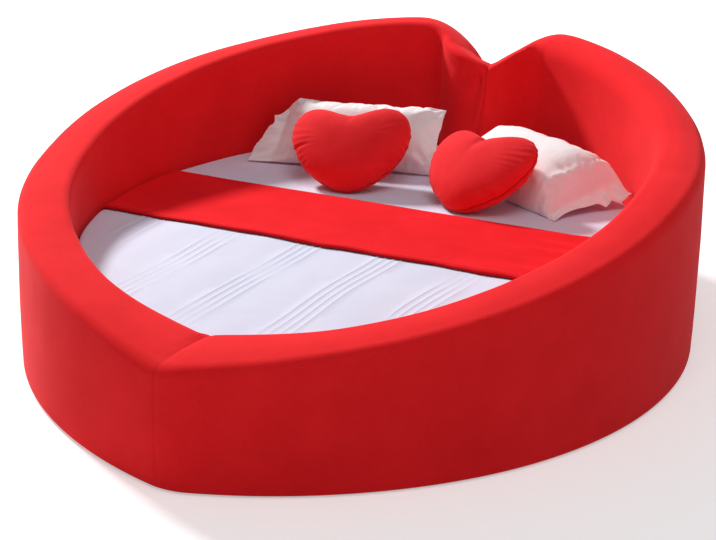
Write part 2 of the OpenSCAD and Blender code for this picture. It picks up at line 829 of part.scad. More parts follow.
// Points of a heart cushion: rings shrinking from the seam to the crown, on top and underneath
heart_ring_shares = [1, 0.94, 0.82, 0.6, 0.3];
heart_crown_power = 2.4;
heart_around = 26;
heart_fill_around = 18;
heart_point_share = 0.35;
heart_wave_shares = [1, -0.215, -0.077, -0.023];
function heart_wave(a) = heart_wave_shares * [for (k = [1:4]) cos(k * a)];
heart_wave_top = max([for (a = [0:5:180]) heart_wave(a)]);
heart_wave_bottom = min([for (a = [0:5:180]) heart_wave(a)]);
function heart_outline(a) =
    [
        heart_point_share * pow(sin(a), 3) + (1 - heart_point_share) * sin(a),
        2 * (heart_wave(a) - heart_wave_bottom) / (heart_wave_top - heart_wave_bottom) - 1
    ];
heart_middle_share = 0.08;
function heart_ring(w, l, z, share, around) =
    [for (i = [0:around - 1]) let (p = heart_outline(360 * (i + 0.5) / around))
        [w / 2 * p.x * share, l / 2 * (heart_middle_share + (p.y - heart_middle_share) * share), z]];
function heart_points(w, l, h, around) =
    let (
        count = len(heart_ring_shares),
        lift = [for (s = heart_ring_shares) h / 2 * pow(1 - pow(s, heart_crown_power), round_power)],
        ring = function (k, side) heart_ring(w, l, side * lift[k], heart_ring_shares[k], around)
    )
    concat(
        [for (k = [0:count - 1]) for (p = ring(k, 1)) p],
        [for (k = [1:count - 1]) for (p = ring(k, -1)) p],
        [for (side = [1, -1]) [0, l / 2 * heart_middle_share, side * h / 2]]
    );
function heart_faces(around) =
    let (
        rings = len(heart_ring_shares),
        top = function (k) k * around,
        under = function (k) k == 0 ? 0 : (rings + k - 1) * around,
        pole = (2 * rings - 1) * around
    )
    concat(
        [for (k = [0:rings - 2]) for (i = [0:around - 1])
            let (m = (i + 1) % around, a = top(k), b = top(k + 1), c = under(k), d = under(k + 1))
            for (f = [[a + i, a + m, b + m], [a + i, b + m, b + i],
                      [c + i, d + m, c + m], [c + i, d + i, d + m]]) f],
        [for (i = [0:around - 1])
            let (m = (i + 1) % around, a = top(rings - 1), c = under(rings - 1))
            for (f = [[a + i, a + m, pole], [c + i, pole + 1, c + m]]) f]
    );

// Each heart cushion stands on the bedspread and leans on its pillow: of all places along Y, the nearest to the
// pillow at which none of its points comes closer to the pillow's top than the gap
lean_gap = 2;
lean_halvings = 12;
function unposed(p, pose, rise) = turn_x(turn_z(p - [pose[3], pose[4], rise], -pose[2]), -pose[1]);
function above_pillow(p, pose, rise) =
    let (q = unposed(p, pose, rise), s = 2 * q.x / pillow_w, v = 2 * q.y / pillow_l)
    abs(s) < 1 && abs(v) < 1 ?
        q.z - pillow_lift(s, v, pillow_w, pillow_l, pillow_h, flange_w, flange_t) : pillow_w;
function heart_shell() = heart_points(heart_w, heart_l, heart_h, heart_around);
function heart_rise(pose) = spread_top_z + layer_gap - low(posed(heart_shell(), pose));
function leaned_y(points, pose, rise, near, far, halvings) =
    let (y = (near + far) / 2, room = min([for (p = points) above_pillow(p + [0, y, 0], pose, rise)]))
    halvings == 0 ? near :
    room > lean_gap ? leaned_y(points, pose, rise, y, far, halvings - 1) :
    leaned_y(points, pose, rise, near, y, halvings - 1);
function heart_pose(turn, tilt, yaw, pillow, aside_share) =
    let (
        x = pillow[3] + aside_share * pillow_w,
        start = [turn, tilt, yaw, x, 0],
        points = raised(posed(heart_shell(), start), heart_rise(start)),
        y = leaned_y(points, pillow, pillow_rise(pillow), pillow[4] - pillow_l - heart_l, pillow[4], lean_halvings)
    )
    [turn, tilt, yaw, x, y];
heart_pose_left = heart_pose(1, 45, 24, pillow_pose_left, 0.155);
heart_pose_right = heart_pose(16, 37, -28, pillow_pose_right, -0.187);

module heart_solid(less_w, less_h, around, pose) {
    points = heart_points(heart_w - less_w, heart_l - less_w, heart_h - less_h, around);
    polyhedron(raised(posed(points, pose), heart_rise(pose)), heart_faces(around), convexity = 4);
}
module heart_filling(pose) {
    in = heart_cover_t + seat_gap;
    color(white)
        heart_solid(4 * in, 2 * in, heart_fill_around, pose);
}
module heart_cushion(pose) {
    color(dark_red)
        difference() {
            heart_solid(0, 0, heart_around, pose);
            heart_solid(4 * heart_cover_t, 2 * heart_cover_t, heart_fill_around, pose);
        }
}

base_ring("left");  // base_ring_left
base_ring("right");  // base_ring_right
ribs("left");  // ribs_left
ribs("right");  // ribs_right
tip_former("left");  // tip_former_left
tip_former("right");  // tip_former_right
notch_former("left");  // notch_former_left
notch_former("right");  // notch_former_right
outer_skin("left");  // outer_skin_left
outer_skin("right");  // outer_skin_right
inner_skin("left");  // inner_skin_left
inner_skin("right");  // inner_skin_right
top_rail("left");  // top_rail_left
top_rail("right");  // top_rail_right
outer_foam("left");  // outer_foam_left
outer_foam("right");  // outer_foam_right
inner_foam("left");  // inner_foam_left
inner_foam("right");  // inner_foam_right
rim_foam("left");  // rim_foam_left
rim_foam("right");  // rim_foam_right
cover("left");  // cover_left
cover("right");  // cover_right
joining_bolts();
joining_washers();
joining_nuts();
slat_ledge("left");  // slat_ledge_left
slat_ledge("right");  // slat_ledge_right
centre_beam();
for (i = [1:3])
    centre_leg(i);
leg_glides();
wall_glides();
for (i = [1:slat_count])
    slat(i);
slat_screws();
mattress_core();
mattress_cover();
bedspread();
bed_runner();
pillow_filling(pillow_pose_left);  // pillow_filling_left
pillowcase(pillow_pose_left);  // pillowcase_left
pillow_filling(pillow_pose_right);  // pillow_filling_right
pillowcase(pillow_pose_right);  // pillowcase_right
heart_filling(heart_pose_left);  // heart_filling_left
heart_cushion(heart_pose_left);  // heart_cushion_left
heart_filling(heart_pose_right);  // heart_filling_right
heart_cushion(heart_pose_right);  // heart_cushion_right
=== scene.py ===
import math
import bmesh
import bpy
import numpy as np
from mathutils import Matrix, Vector, noise
from mathutils.bvhtree import BVHTree
from mathutils.geometry import delaunay_2d_cdt


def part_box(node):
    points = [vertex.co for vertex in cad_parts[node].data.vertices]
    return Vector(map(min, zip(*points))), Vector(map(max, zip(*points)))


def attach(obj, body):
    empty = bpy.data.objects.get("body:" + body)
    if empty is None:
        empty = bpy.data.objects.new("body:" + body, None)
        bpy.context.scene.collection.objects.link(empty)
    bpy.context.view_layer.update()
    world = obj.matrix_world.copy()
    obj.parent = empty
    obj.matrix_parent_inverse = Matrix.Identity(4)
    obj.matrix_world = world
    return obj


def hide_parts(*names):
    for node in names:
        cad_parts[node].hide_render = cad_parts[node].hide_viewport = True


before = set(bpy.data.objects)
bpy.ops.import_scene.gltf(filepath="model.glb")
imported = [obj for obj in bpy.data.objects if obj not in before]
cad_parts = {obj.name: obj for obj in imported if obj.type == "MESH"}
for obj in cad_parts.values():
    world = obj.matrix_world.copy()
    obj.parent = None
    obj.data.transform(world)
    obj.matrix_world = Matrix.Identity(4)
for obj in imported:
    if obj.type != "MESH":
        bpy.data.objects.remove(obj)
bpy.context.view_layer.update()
scene = bpy.context.scene
print("frame loaded:", len(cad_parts), "nodes")


# Camera, where the photographer stood
camera = {
    "azimuth": 0.4159,  # radians from straight before the foot, towards +X
    "elevation": 0.3609,
    "roll": 0.0203,
    "distance": 6.3311,
    "target": (0.1506, -0.3376, 0.3727),
    "focalPixels": 2003.8,  # for an image 716 pixels wide
    "imageWidth": 716,
    "sensorWidth": 36.0,
}


def makeCamera():
    az, el, roll = camera["azimuth"], camera["elevation"], camera["roll"]
    back = Vector((math.sin(az) * math.cos(el), -math.cos(az) * math.cos(el), math.sin(el)))
    right = Vector((math.cos(az), math.sin(az), 0))
    up = back.cross(right)
    turnedRight = right * math.cos(roll) + up * math.sin(roll)
    turnedUp = up * math.cos(roll) - right * math.sin(roll)
    lens = bpy.data.cameras.new("camera")
    lens.sensor_width = camera["sensorWidth"]
    lens.sensor_fit = "HORIZONTAL"
    lens.lens = camera["focalPixels"] * camera["sensorWidth"] / camera["imageWidth"]
    lens.clip_end = 200
    obj = bpy.data.objects.new("camera", lens)
    turn = Matrix((turnedRight, turnedUp, back)).transposed()
    place = Vector(camera["target"]) + back * camera["distance"]
    obj.matrix_world = Matrix.Translation(place) @ turn.to_4x4()
    scene.collection.objects.link(obj)
    scene.camera = obj


makeCamera()
print("camera placed")


# Small tools for meshes
def meshObject(name, points, faces):
    mesh = bpy.data.meshes.new(name)
    mesh.from_pydata([tuple(map(float, p)) for p in points], [], [tuple(map(int, f)) for f in faces])
    mesh.update()
    mesh.polygons.foreach_set("use_smooth", [True] * len(mesh.polygons))
    obj = bpy.data.objects.new(name, mesh)
    scene.collection.objects.link(obj)
    return obj


def gridFaces(rows, columns, start=0, closed=False):
    # quads over a grid whose points run row by row; closed joins the last column to the first
    last = columns if closed else columns - 1
    return [
        (start + i * columns + j, start + i * columns + (j + 1) % columns,
         start + (i + 1) * columns + (j + 1) % columns, start + (i + 1) * columns + j)
        for i in range(rows - 1) for j in range(last)
    ]


def readPoints(mesh):
    points = np.empty(len(mesh.vertices) * 3)
    mesh.vertices.foreach_get("co", points)
    return points.reshape(-1, 3)


def writePoints(mesh, points):
    mesh.vertices.foreach_set("co", np.asarray(points, float).ravel())
    mesh.update()


def readNormals(mesh):
    normals = np.empty(len(mesh.vertices) * 3)
    mesh.vertex_normals.foreach_get("vector", normals)
    return normals.reshape(-1, 3)


def addAttribute(mesh, name, values):
    layer = mesh.attributes.new(name, "FLOAT", "POINT")
    layer.data.foreach_set("value", np.asarray(values, np.float32))


def applyModifiers(obj):
    # what the modifiers make becomes the object's own mesh
    bpy.context.view_layer.update()
    deps = bpy.context.evaluated_depsgraph_get()
    made = bpy.data.meshes.new_from_object(obj.evaluated_get(deps), depsgraph=deps)
    old = obj.data
    obj.modifiers.clear()
    obj.data = made
    bpy.data.meshes.remove(old)
    obj.data.polygons.foreach_set("use_smooth", [True] * len(obj.data.polygons))
    return obj


def joinDoubles(obj, distance):
    work = bmesh.new()
    work.from_mesh(obj.data)
    bmesh.ops.remove_doubles(work, verts=work.verts, dist=distance)
    work.to_mesh(obj.data)
    work.free()
    obj.data.update()


def thicken(obj, thickness):
    # gives a sheet its thickness, away from its face side
    solid = obj.modifiers.new("thickness", "SOLIDIFY")
    solid.thickness = thickness
    solid.offset = -1
    return applyModifiers(obj)


def cloud(points, size, seed=0):
    # smooth noise from about -1 to 1, with bumps as large as size in metres
    shift = Vector((seed * 17.3, seed * 5.1, seed * 9.7))
    return np.array([noise.noise(Vector(p) / size + shift) for p in points])


def bell(value, width):
    return np.exp(-(np.asarray(value) / width) ** 2)


def ramp(value, low, high):
    # 0 below low, 1 above high, smooth between
    t = np.clip((np.asarray(value, float) - low) / (high - low), 0, 1)
    return t * t * (3 - 2 * t)


# Small tools for node trees
def srgb(code):
    parts = [int(code[i:i + 2], 16) / 255 for i in (1, 3, 5)]
    return [c / 12.92 if c <= 0.04045 else ((c + 0.055) / 1.055) ** 2.4 for c in parts] + [1.0]


def addNode(tree, kind, values=None, links=None, **settings):
    # one node, with its settings, its input values and the sockets that feed it
    node = tree.nodes.new(kind)
    for name, value in settings.items():
        setattr(node, name, value)
    for name, value in (values or {}).items():
        node.inputs[name].default_value = value
    for name, socket in (links or {}).items():
        tree.links.new(socket, node.inputs[name])
    return node


def newMaterial(name):
    material = bpy.data.materials.new(name)
    material.use_nodes = True
    material.node_tree.nodes.clear()
    tree = material.node_tree
    place = addNode(tree, "ShaderNodeTexCoord").outputs["Object"]
    return material, tree, place


def finishMaterial(tree, links, values):
    # the Principled shader with all that goes into it, and the output
    shader = addNode(tree, "ShaderNodeBsdfPrincipled", values=values, links=links)
    addNode(tree, "ShaderNodeOutputMaterial", links={"Surface": shader.outputs["BSDF"]})


waveUnit = 0.05 * math.tau  # a wave texture of scale 1 repeats after this many metres


# Fabrics. A napped cloth has no shine of its own; its short fibres catch light along the edge of a form
def nappedCloth(name, cloth):
    material, tree, place = newMaterial(name)
    stroke, nap = (
        addNode(
            tree, "ShaderNodeTexNoise", links={"Vector": place},
            values={"Scale": 1 / size, "Detail": detail, "Roughness": roughness},
        ).outputs["Fac"]
        for size, detail, roughness in ((cloth["strokeSize"], 4.0, 0.55), (cloth["napSize"], 3.0, 0.7))
    )
    fibre = addNode(
        tree, "ShaderNodeTexVoronoi", links={"Vector": place}, values={"Scale": 1 / cloth["fibreSize"]},
    ).outputs["Distance"]
    stroked = addNode(
        tree, "ShaderNodeMapRange", links={"Value": stroke}, values={"From Min": 0.3, "From Max": 0.7},
    ).outputs["Result"]
    specks = addNode(
        tree, "ShaderNodeMapRange", links={"Value": nap},
        values={"From Min": 0.25, "From Max": 0.75, "To Max": 0.35},
    ).outputs["Result"]
    seam = addNode(tree, "ShaderNodeAttribute", attribute_name="seam").outputs["Fac"]
    colour = addNode(tree, "ShaderNodeRGB").outputs[0]
    colour.default_value = srgb(cloth["deep"])
    for share, tone in ((stroked, "light"), (specks, "worn"), (seam, "seam")):
        colour = addNode(
            tree, "ShaderNodeMix", data_type="RGBA", links={"Factor": share, 6: colour},
            values={7: srgb(cloth[tone])},
        ).outputs[2]
    roughness = addNode(
        tree, "ShaderNodeMapRange", links={"Value": nap},
        values={"From Min": 0.2, "From Max": 0.8, "To Min": cloth["roughLow"], "To Max": cloth["roughHigh"]},
    ).outputs["Result"]
    low = addNode(
        tree, "ShaderNodeBump", links={"Height": stroke},
        values={"Strength": 0.35, "Distance": cloth["strokeDepth"]},
    ).outputs["Normal"]
    middle = addNode(
        tree, "ShaderNodeBump", links={"Height": nap, "Normal": low},
        values={"Strength": 0.5, "Distance": cloth["napDepth"]},
    ).outputs["Normal"]
    fine = addNode(
        tree, "ShaderNodeBump", links={"Height": fibre, "Normal": middle},
        values={"Strength": 0.5, "Distance": cloth["fibreDepth"]},
    ).outputs["Normal"]
    finishMaterial(tree, {"Base Color": colour, "Roughness": roughness, "Normal": fine}, {
        "Specular IOR Level": cloth["specular"], "Sheen Weight": cloth["sheen"],
        "Sheen Roughness": 0.45, "Sheen Tint": srgb(cloth["sheenTint"]),
    })
    return material


# Woven cloth: warp and weft as two crossed waves, drawn about four times as coarse as the real 0.5 mm threads
def wovenCloth(name, cloth):
    material, tree, place = newMaterial(name)
    warp, weft = (
        addNode(
            tree, "ShaderNodeTexWave", links={"Vector": place}, wave_type="BANDS", bands_direction=direction,
            values={"Scale": waveUnit / cloth["threadSize"], "Distortion": 1.2, "Detail": 1.0},
        ).outputs["Fac"]
        for direction in ("X", "Y")
    )
    weave = addNode(
        tree, "ShaderNodeMath", operation="MULTIPLY", links={0: warp, 1: weft},
    ).outputs["Value"]
    crease = addNode(
        tree, "ShaderNodeTexNoise", links={"Vector": place},
        values={"Scale": 1 / cloth["creaseSize"], "Detail": 5.0, "Roughness": 0.6, "Distortion": 0.4},
    ).outputs["Fac"]
    creased = addNode(
        tree, "ShaderNodeMapRange", links={"Value": crease}, values={"From Min": 0.3, "From Max": 0.7},
    ).outputs["Result"]
    threads = addNode(
        tree, "ShaderNodeMapRange", links={"Value": weave}, values={"To Max": cloth["threadShade"]},
    ).outputs["Result"]
    # the seam attribute darkens stitch lines and seams; on the runner's near edge and in the mattress's
    # quilting grooves it also carries painted shade
    seam = addNode(tree, "ShaderNodeAttribute", attribute_name="seam").outputs["Fac"]
    colour = addNode(tree, "ShaderNodeRGB").outputs[0]
    colour.default_value = srgb(cloth["deep"])
    for share, tone in ((creased, "light"), (threads, "worn"), (seam, "seam")):
        colour = addNode(
            tree, "ShaderNodeMix", data_type="RGBA", links={"Factor": share, 6: colour},
            values={7: srgb(cloth[tone])},
        ).outputs[2]
    roughness = addNode(
        tree, "ShaderNodeMapRange", links={"Value": weave},
        values={"To Min": cloth["roughLow"], "To Max": cloth["roughHigh"]},
    ).outputs["Result"]
    low = addNode(
        tree, "ShaderNodeBump", links={"Height": crease},
        values={"Strength": 0.5, "Distance": cloth["creaseDepth"]},
    ).outputs["Normal"]
    fine = addNode(
        tree, "ShaderNodeBump", links={"Height": weave, "Normal": low},
        values={"Strength": 0.35, "Distance": cloth["threadDepth"]},
    ).outputs["Normal"]
    finishMaterial(tree, {"Base Color": colour, "Roughness": roughness, "Normal": fine}, {
        "Specular IOR Level": cloth["specular"], "Sheen Weight": cloth["sheen"],
        "Sheen Roughness": 0.5, "Sheen Tint": srgb(cloth["sheenTint"]),
    })
    return material


# Brushed polyester suede: matt, stroked patches slightly lighter or deeper, pale bloom along the edges.
# Its real fibres are 0.3 mm; they are drawn 3 mm wide so that the nap shows in a view of the whole bed
wallSuede = nappedCloth("brushed polyester suede", {
    "deep": "#EF1016", "light": "#FC1A20", "worn": "#FF2E34", "seam": "#A00A10",
    "strokeSize": 0.16, "napSize": 0.012, "fibreSize": 0.003,
    "strokeDepth": 0.005, "napDepth": 0.0012, "fibreDepth": 0.0006,
    "roughLow": 0.82, "roughHigh": 0.96, "specular": 0.18, "sheen": 0.16, "sheenTint": "#FFA0A4",
})
# Plush velour of the cushions: a deeper pile than the wall's suede
cushionVelour = nappedCloth("polyester velour", {
    "deep": "#E81820", "light": "#F2242A", "worn": "#F83438", "seam": "#90080E",
    "strokeSize": 0.07, "napSize": 0.008, "fibreSize": 0.0025,
    "strokeDepth": 0.003, "napDepth": 0.0008, "fibreDepth": 0.0005,
    "roughLow": 0.8, "roughHigh": 0.95, "specular": 0.2, "sheen": 0.16, "sheenTint": "#FFA0A0",
})
# Polyester sateen of the runner: smoother than the suede, with a faint gloss on its folds
# its seam tone also paints the shade on the runner's near edge
runnerSateen = wovenCloth("polyester sateen", {
    "deep": "#E4141C", "light": "#F41E26", "worn": "#FA2E36", "seam": "#A00C12",
    "threadSize": 0.002, "creaseSize": 0.22, "threadShade": 0.35, "creaseDepth": 0.006, "threadDepth": 0.0003,
    "roughLow": 0.78, "roughHigh": 0.88, "specular": 0.07, "sheen": 0.02, "sheenTint": "#FFA0A0",
})
# Cotton percale of the bedspread: crisp, matt, cool white
spreadPercale = wovenCloth("cotton percale", {
    "deep": "#D6D9EC", "light": "#E0E2F3", "worn": "#E7E8F5", "seam": "#B9BACB",
    "threadSize": 0.002, "creaseSize": 0.3, "threadShade": 0.4, "creaseDepth": 0.006, "threadDepth": 0.0003,
    "roughLow": 0.78, "roughHigh": 0.9, "specular": 0.3, "sheen": 0.1, "sheenTint": "#FFFFFF",
})
# Washed cotton of the pillowcases: softer and warmer than the bedspread, a little crumpled
pillowCotton = wovenCloth("washed cotton", {
    "deep": "#F0EAEA", "light": "#F8F4F4", "worn": "#FCFAFA", "seam": "#A8989A",
    "threadSize": 0.002, "creaseSize": 0.09, "threadShade": 0.35, "creaseDepth": 0.008, "threadDepth": 0.0003,
    "roughLow": 0.7, "roughHigh": 0.85, "specular": 0.3, "sheen": 0.1, "sheenTint": "#FFFFFF",
})
# Knitted mattress ticking: thick, slightly open loops
# its seam tone also paints shade in the quilting grooves
mattressTicking = wovenCloth("knitted ticking", {
    "deep": "#DEDDE0", "light": "#ECEBEE", "worn": "#F4F4F6", "seam": "#9A9AA2",
    "threadSize": 0.004, "creaseSize": 0.12, "threadShade": 0.5, "creaseDepth": 0.004, "threadDepth": 0.0008,
    "roughLow": 0.85, "roughHigh": 0.95, "specular": 0.3, "sheen": 0.1, "sheenTint": "#FFFFFF",
})


# Thread, plated steel and moulded plastic: two close tones and a slight relief in one fine grain
def grainedSolid(name, solid):
    material, tree, place = newMaterial(name)
    grain = addNode(
        tree, "ShaderNodeTexNoise", links={"Vector": place},
        values={"Scale": 1 / solid["grainSize"], "Detail": solid["detail"]},
    ).outputs["Fac"]
    share = addNode(
        tree, "ShaderNodeMapRange", links={"Value": grain}, values={"From Min": 0.3, "From Max": 0.7},
    ).outputs["Result"]
    colour = addNode(
        tree, "ShaderNodeMix", data_type="RGBA", links={"Factor": share},
        values={6: srgb(solid["deep"]), 7: srgb(solid["light"])},
    ).outputs[2]
    roughness = addNode(
        tree, "ShaderNodeMapRange", links={"Value": grain},
        values={"From Min": 0.3, "From Max": 0.7, "To Min": solid["roughLow"], "To Max": solid["roughHigh"]},
    ).outputs["Result"]
    normal = addNode(
        tree, "ShaderNodeBump", links={"Height": grain},
        values={"Strength": solid["relief"], "Distance": solid["grainDepth"]},
    ).outputs["Normal"]
    finishMaterial(tree, {"Base Color": colour, "Roughness": roughness, "Normal": normal}, solid["shader"])
    return material


# Sewing thread: a tight twist with a slight gloss
redThread = grainedSolid("red polyester thread", {
    "deep": "#8E0C12", "light": "#C0141A", "grainSize": 0.0011, "detail": 1.0, "grainDepth": 0.0003,
    "relief": 0.4, "roughLow": 0.5, "roughHigh": 0.5, "shader": {"Specular IOR Level": 0.4},
})
whiteThread = grainedSolid("white cotton thread", {
    "deep": "#BDB6BA", "light": "#E4E0E2", "grainSize": 0.0011, "detail": 1.0, "grainDepth": 0.0003,
    "relief": 0.4, "roughLow": 0.5, "roughHigh": 0.5, "shader": {"Specular IOR Level": 0.4},
})
# Zinc-plated steel: bluish grey, with the mottling of a plating bath
zincSteel = grainedSolid("zinc-plated steel", {
    "deep": "#8F9499", "light": "#B4B9BE", "grainSize": 0.0033, "detail": 3.0, "grainDepth": 0.0002,
    "relief": 0.2, "roughLow": 0.28, "roughHigh": 0.45, "shader": {"Metallic": 1.0},
})
# Moulded polypropylene of the glides: black, with a fine spark-eroded grain
mouldedPlastic = grainedSolid("moulded polypropylene", {
    "deep": "#1C1C1E", "light": "#2A2A2C", "grainSize": 0.0008, "detail": 2.0, "grainDepth": 0.0002,
    "relief": 0.3, "roughLow": 0.42, "roughHigh": 0.6, "shader": {"Specular IOR Level": 0.45},
})


# Wood: growth rings seen along the board, with fine pores
def sawnWood(name, wood):
    material, tree, place = newMaterial(name)
    stretched = addNode(
        tree, "ShaderNodeMapping", links={"Vector": place}, values={"Scale": wood["stretch"]},
    ).outputs["Vector"]
    rings = addNode(
        tree, "ShaderNodeTexWave", links={"Vector": stretched}, wave_type="RINGS", rings_direction="X",
        values={
            "Scale": waveUnit / wood["ringSize"], "Distortion": 5.0, "Detail": 3.0, "Detail Scale": 1.5,
        },
    ).outputs["Fac"]
    pores = addNode(
        tree, "ShaderNodeTexNoise", links={"Vector": stretched},
        values={"Scale": 1 / wood["poreSize"], "Detail": 4.0, "Roughness": 0.7},
    ).outputs["Fac"]
    specks = addNode(
        tree, "ShaderNodeMapRange", links={"Value": pores},
        values={"From Min": 0.55, "From Max": 0.8, "To Max": 0.5},
    ).outputs["Result"]
    colour = addNode(tree, "ShaderNodeRGB").outputs[0]
    colour.default_value = srgb(wood["light"])
    for share, tone in ((rings, "deep"), (specks, "pore")):
        colour = addNode(
            tree, "ShaderNodeMix", data_type="RGBA", links={"Factor": share, 6: colour},
            values={7: srgb(wood[tone])},
        ).outputs[2]
    roughness = addNode(
        tree, "ShaderNodeMapRange", links={"Value": pores},
        values={"From Min": 0.2, "From Max": 0.8, "To Min": 0.5, "To Max": 0.75},
    ).outputs["Result"]
    normal = addNode(
        tree, "ShaderNodeBump", links={"Height": pores}, values={"Strength": 0.4, "Distance": 0.0006},
    ).outputs["Normal"]
    finishMaterial(tree, {"Base Color": colour, "Roughness": roughness, "Normal": normal}, {})
    return material


# Rotary-cut birch plywood, unfinished: pale, with long flame figure up the sheet
birchPly = sawnWood("birch plywood", {
    "light": "#D9BC8C", "deep": "#C29C66", "pore": "#8E6A3E",
    "stretch": (1.0, 1.0, 0.12), "ringSize": 0.03, "poreSize": 0.006,
})
# Planed pine, unfinished: yellow early wood and darker late wood along the board
pineAcross = sawnWood("planed pine across the bed", {
    "light": "#E6CB96", "deep": "#C89658", "pore": "#96683A",
    "stretch": (0.06, 1.0, 1.0), "ringSize": 0.014, "poreSize": 0.005,
})
pineAlong = sawnWood("planed pine along the bed", {
    "light": "#E2C68F", "deep": "#C49254", "pore": "#8F6236",
    "stretch": (1.0, 0.06, 1.0), "ringSize": 0.014, "poreSize": 0.005,
})


def finishFrame():
    # the carried-over wood, steel and plastic parts
    finishes = [
        (("slat_screws", "joining_"), zincSteel),
        (("leg_glides", "wall_glides"), mouldedPlastic),
        (("slat_ledge", "centre_"), pineAlong),
        (("slat_",), pineAcross),
        (("base_ring", "ribs", "tip_former", "notch_former"), birchPly),
        (("outer_skin", "inner_skin", "top_rail"), birchPly),
    ]
    for name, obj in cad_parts.items():
        for starts, material in finishes:
            if name.startswith(starts):
                obj.data.materials.clear()
                obj.data.materials.append(material)
                break


finishFrame()
print("materials made")


# The heart's outline, as in the frame: arcs from the notch round a lobe to the foot point
heart = {
    "headLength": 1.261,  # widest line to the tops of the lobes
    "lobeRadius": 0.235,
    "notchDepth": 0.118,
    "notchRadius": 0.012,
    "sideFullness": 1.622,
    "sideSlope": 1.08,
    "tipRadius": 0.210,
    "tipInnerRadius": 0.030,
    "footFullness": 0.055,  # how much thicker the padding is at the foot point
    "footReach": 0.34,
}
coverLow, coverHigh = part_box("cover_right")
halfWidth = coverHigh.x - coverLow.x
bedLength = coverHigh.y - coverLow.y
widestY = bedLength / 2 - heart["headLength"]
wallThickness = 0.171  # cover, foam, frame, foam and cover


def heartArcs():
    # centre, radius, first and last angle of each arc; the foot's last angle depends on the inset
    h = heart
    lobeY = h["headLength"] - h["lobeRadius"]
    notchY = h["headLength"] + h["notchRadius"] - h["notchDepth"]
    lobeX = math.sqrt((h["lobeRadius"] + h["notchRadius"]) ** 2 - (notchY - lobeY) ** 2)
    reach = halfWidth - lobeX
    headR = (reach ** 2 + lobeY ** 2 - h["lobeRadius"] ** 2) / (2 * (reach - h["lobeRadius"]))
    headX = halfWidth - headR
    headTurn = math.atan2(lobeY, lobeX - headX)
    notchTurn = math.atan2(notchY - lobeY, -lobeX)
    footLength = bedLength - h["headLength"]
    sideR = h["sideFullness"] * footLength ** 2 / (2 * halfWidth)
    turn = math.atan(h["sideSlope"] * halfWidth / footLength)
    flankX = halfWidth - sideR
    join = np.array([flankX + sideR * math.cos(turn), -sideR * math.sin(turn)])
    along = np.array([math.cos(turn), -math.sin(turn)])
    tip = np.array([0, h["tipRadius"] - footLength]) - join
    footR = (tip @ tip - h["tipRadius"] ** 2) / (-2 * (tip @ along + h["tipRadius"]))
    foot = join - footR * along
    return {
        "notch": ((0, notchY), h["notchRadius"], -math.pi / 2, notchTurn - math.pi),
        "lobeBack": ((lobeX, lobeY), h["lobeRadius"], notchTurn, math.pi / 2),
        "lobeSide": ((lobeX, lobeY), h["lobeRadius"], math.pi / 2, headTurn),
        "headSide": ((headX, 0), headR, headTurn, 0),
        "footSide": ((flankX, 0), sideR, 0, -turn),
        "foot": (tuple(foot), footR, -turn),
    }


arcs = heartArcs()
arcNames = ["notch", "lobeBack", "lobeSide", "headSide", "footSide", "foot", "tip"]


def stationList(steps):
    # (arc, share along it) from the notch to the foot point; both seams get closer stations
    made = [("notch", 0.0)]
    for name, count in zip(arcNames, steps):
        for i in range(1, count + 1):
            t = i / count
            if name == "notch":
                t = t ** 2
            if name == "tip":
                t = 1 - (1 - t) ** 2
            made.append((name, t))
    return made


def heartPoint(station, inset):
    # place of a station when the outline is moved inwards; inset may be an array
    name, t = station
    inset = np.asarray(inset, float)
    full = 0.0
    if name in ("foot", "tip"):
        (cx, cy), radius, first = arcs["foot"]
        tipR = np.maximum(heart["tipRadius"] - inset, heart["tipInnerRadius"])
        arm = radius - inset - tipR
        tipY = cy - np.sqrt(arm ** 2 - cx ** 2)
        turn = np.arctan2(tipY - cy, -cx)
        if name == "foot":
            angle = first + (turn - first) * t
            x, y = cx + (radius - inset) * np.cos(angle), cy + (radius - inset) * np.sin(angle)
        else:
            angle = turn + (-math.pi / 2 - turn) * t
            x, y = tipR * np.cos(angle), tipY + tipR * np.sin(angle)
        inwards = np.clip(inset / wallThickness, 0, 1) ** 1.5
        full = heart["footFullness"] * bell(x, heart["footReach"]) * inwards
    else:
        (cx, cy), radius, first, last = arcs[name]
        angle = first + (last - first) * t
        reach = radius + inset if name == "notch" else radius - inset
        x, y = cx + reach * math.cos(angle), cy + reach * math.sin(angle)
    return np.stack([x, y + widestY + full], -1)


def slideAlong(points, insets, stations, slide):
    # moves points in X and keeps each one on its own outline, so that a seam can run askew
    loops = {}
    for i, inset in enumerate(insets):
        key = round(float(inset), 4)
        if key not in loops:
            half = np.array([heartPoint(s, key) for s in stations])
            loop = np.vstack([half * [-1, 1], half])
            loops[key] = loop[np.argsort(loop[:, 0])].T
        x = points[i, 0]
        points[i, 1] += np.interp(x + slide[i], *loops[key]) - np.interp(x, *loops[key])
        points[i, 0] = x + slide[i]


def heartLoop(stations, inset):
    # the whole closed outline, right half first
    half = np.array([heartPoint(s, inset) for s in stations])
    return np.vstack([half, half[-2:0:-1] * [-1, 1]])


def sideX(y, inset):
    # half width of the outline at y
    w = y - widestY
    name = "headSide" if w >= 0 else "footSide"
    if w < (arcs["footSide"][1] - inset) * math.sin(arcs["footSide"][3]):
        name = "foot"
    (cx, cy), radius = arcs[name][:2]
    return cx + math.sqrt(max((radius - inset) ** 2 - (w - cy) ** 2, 0))


def runLength(points):
    # distance of each point from the first, along the line through them
    return np.concatenate([[0], np.cumsum(np.linalg.norm(np.diff(points, axis=0), axis=1))])


def arcRows(x, z, radius, first, last, count):
    # points on an arc between two angles in degrees
    turns = np.radians(np.linspace(first, last, count))
    return [(x + radius * math.cos(a), z + radius * math.sin(a)) for a in turns]


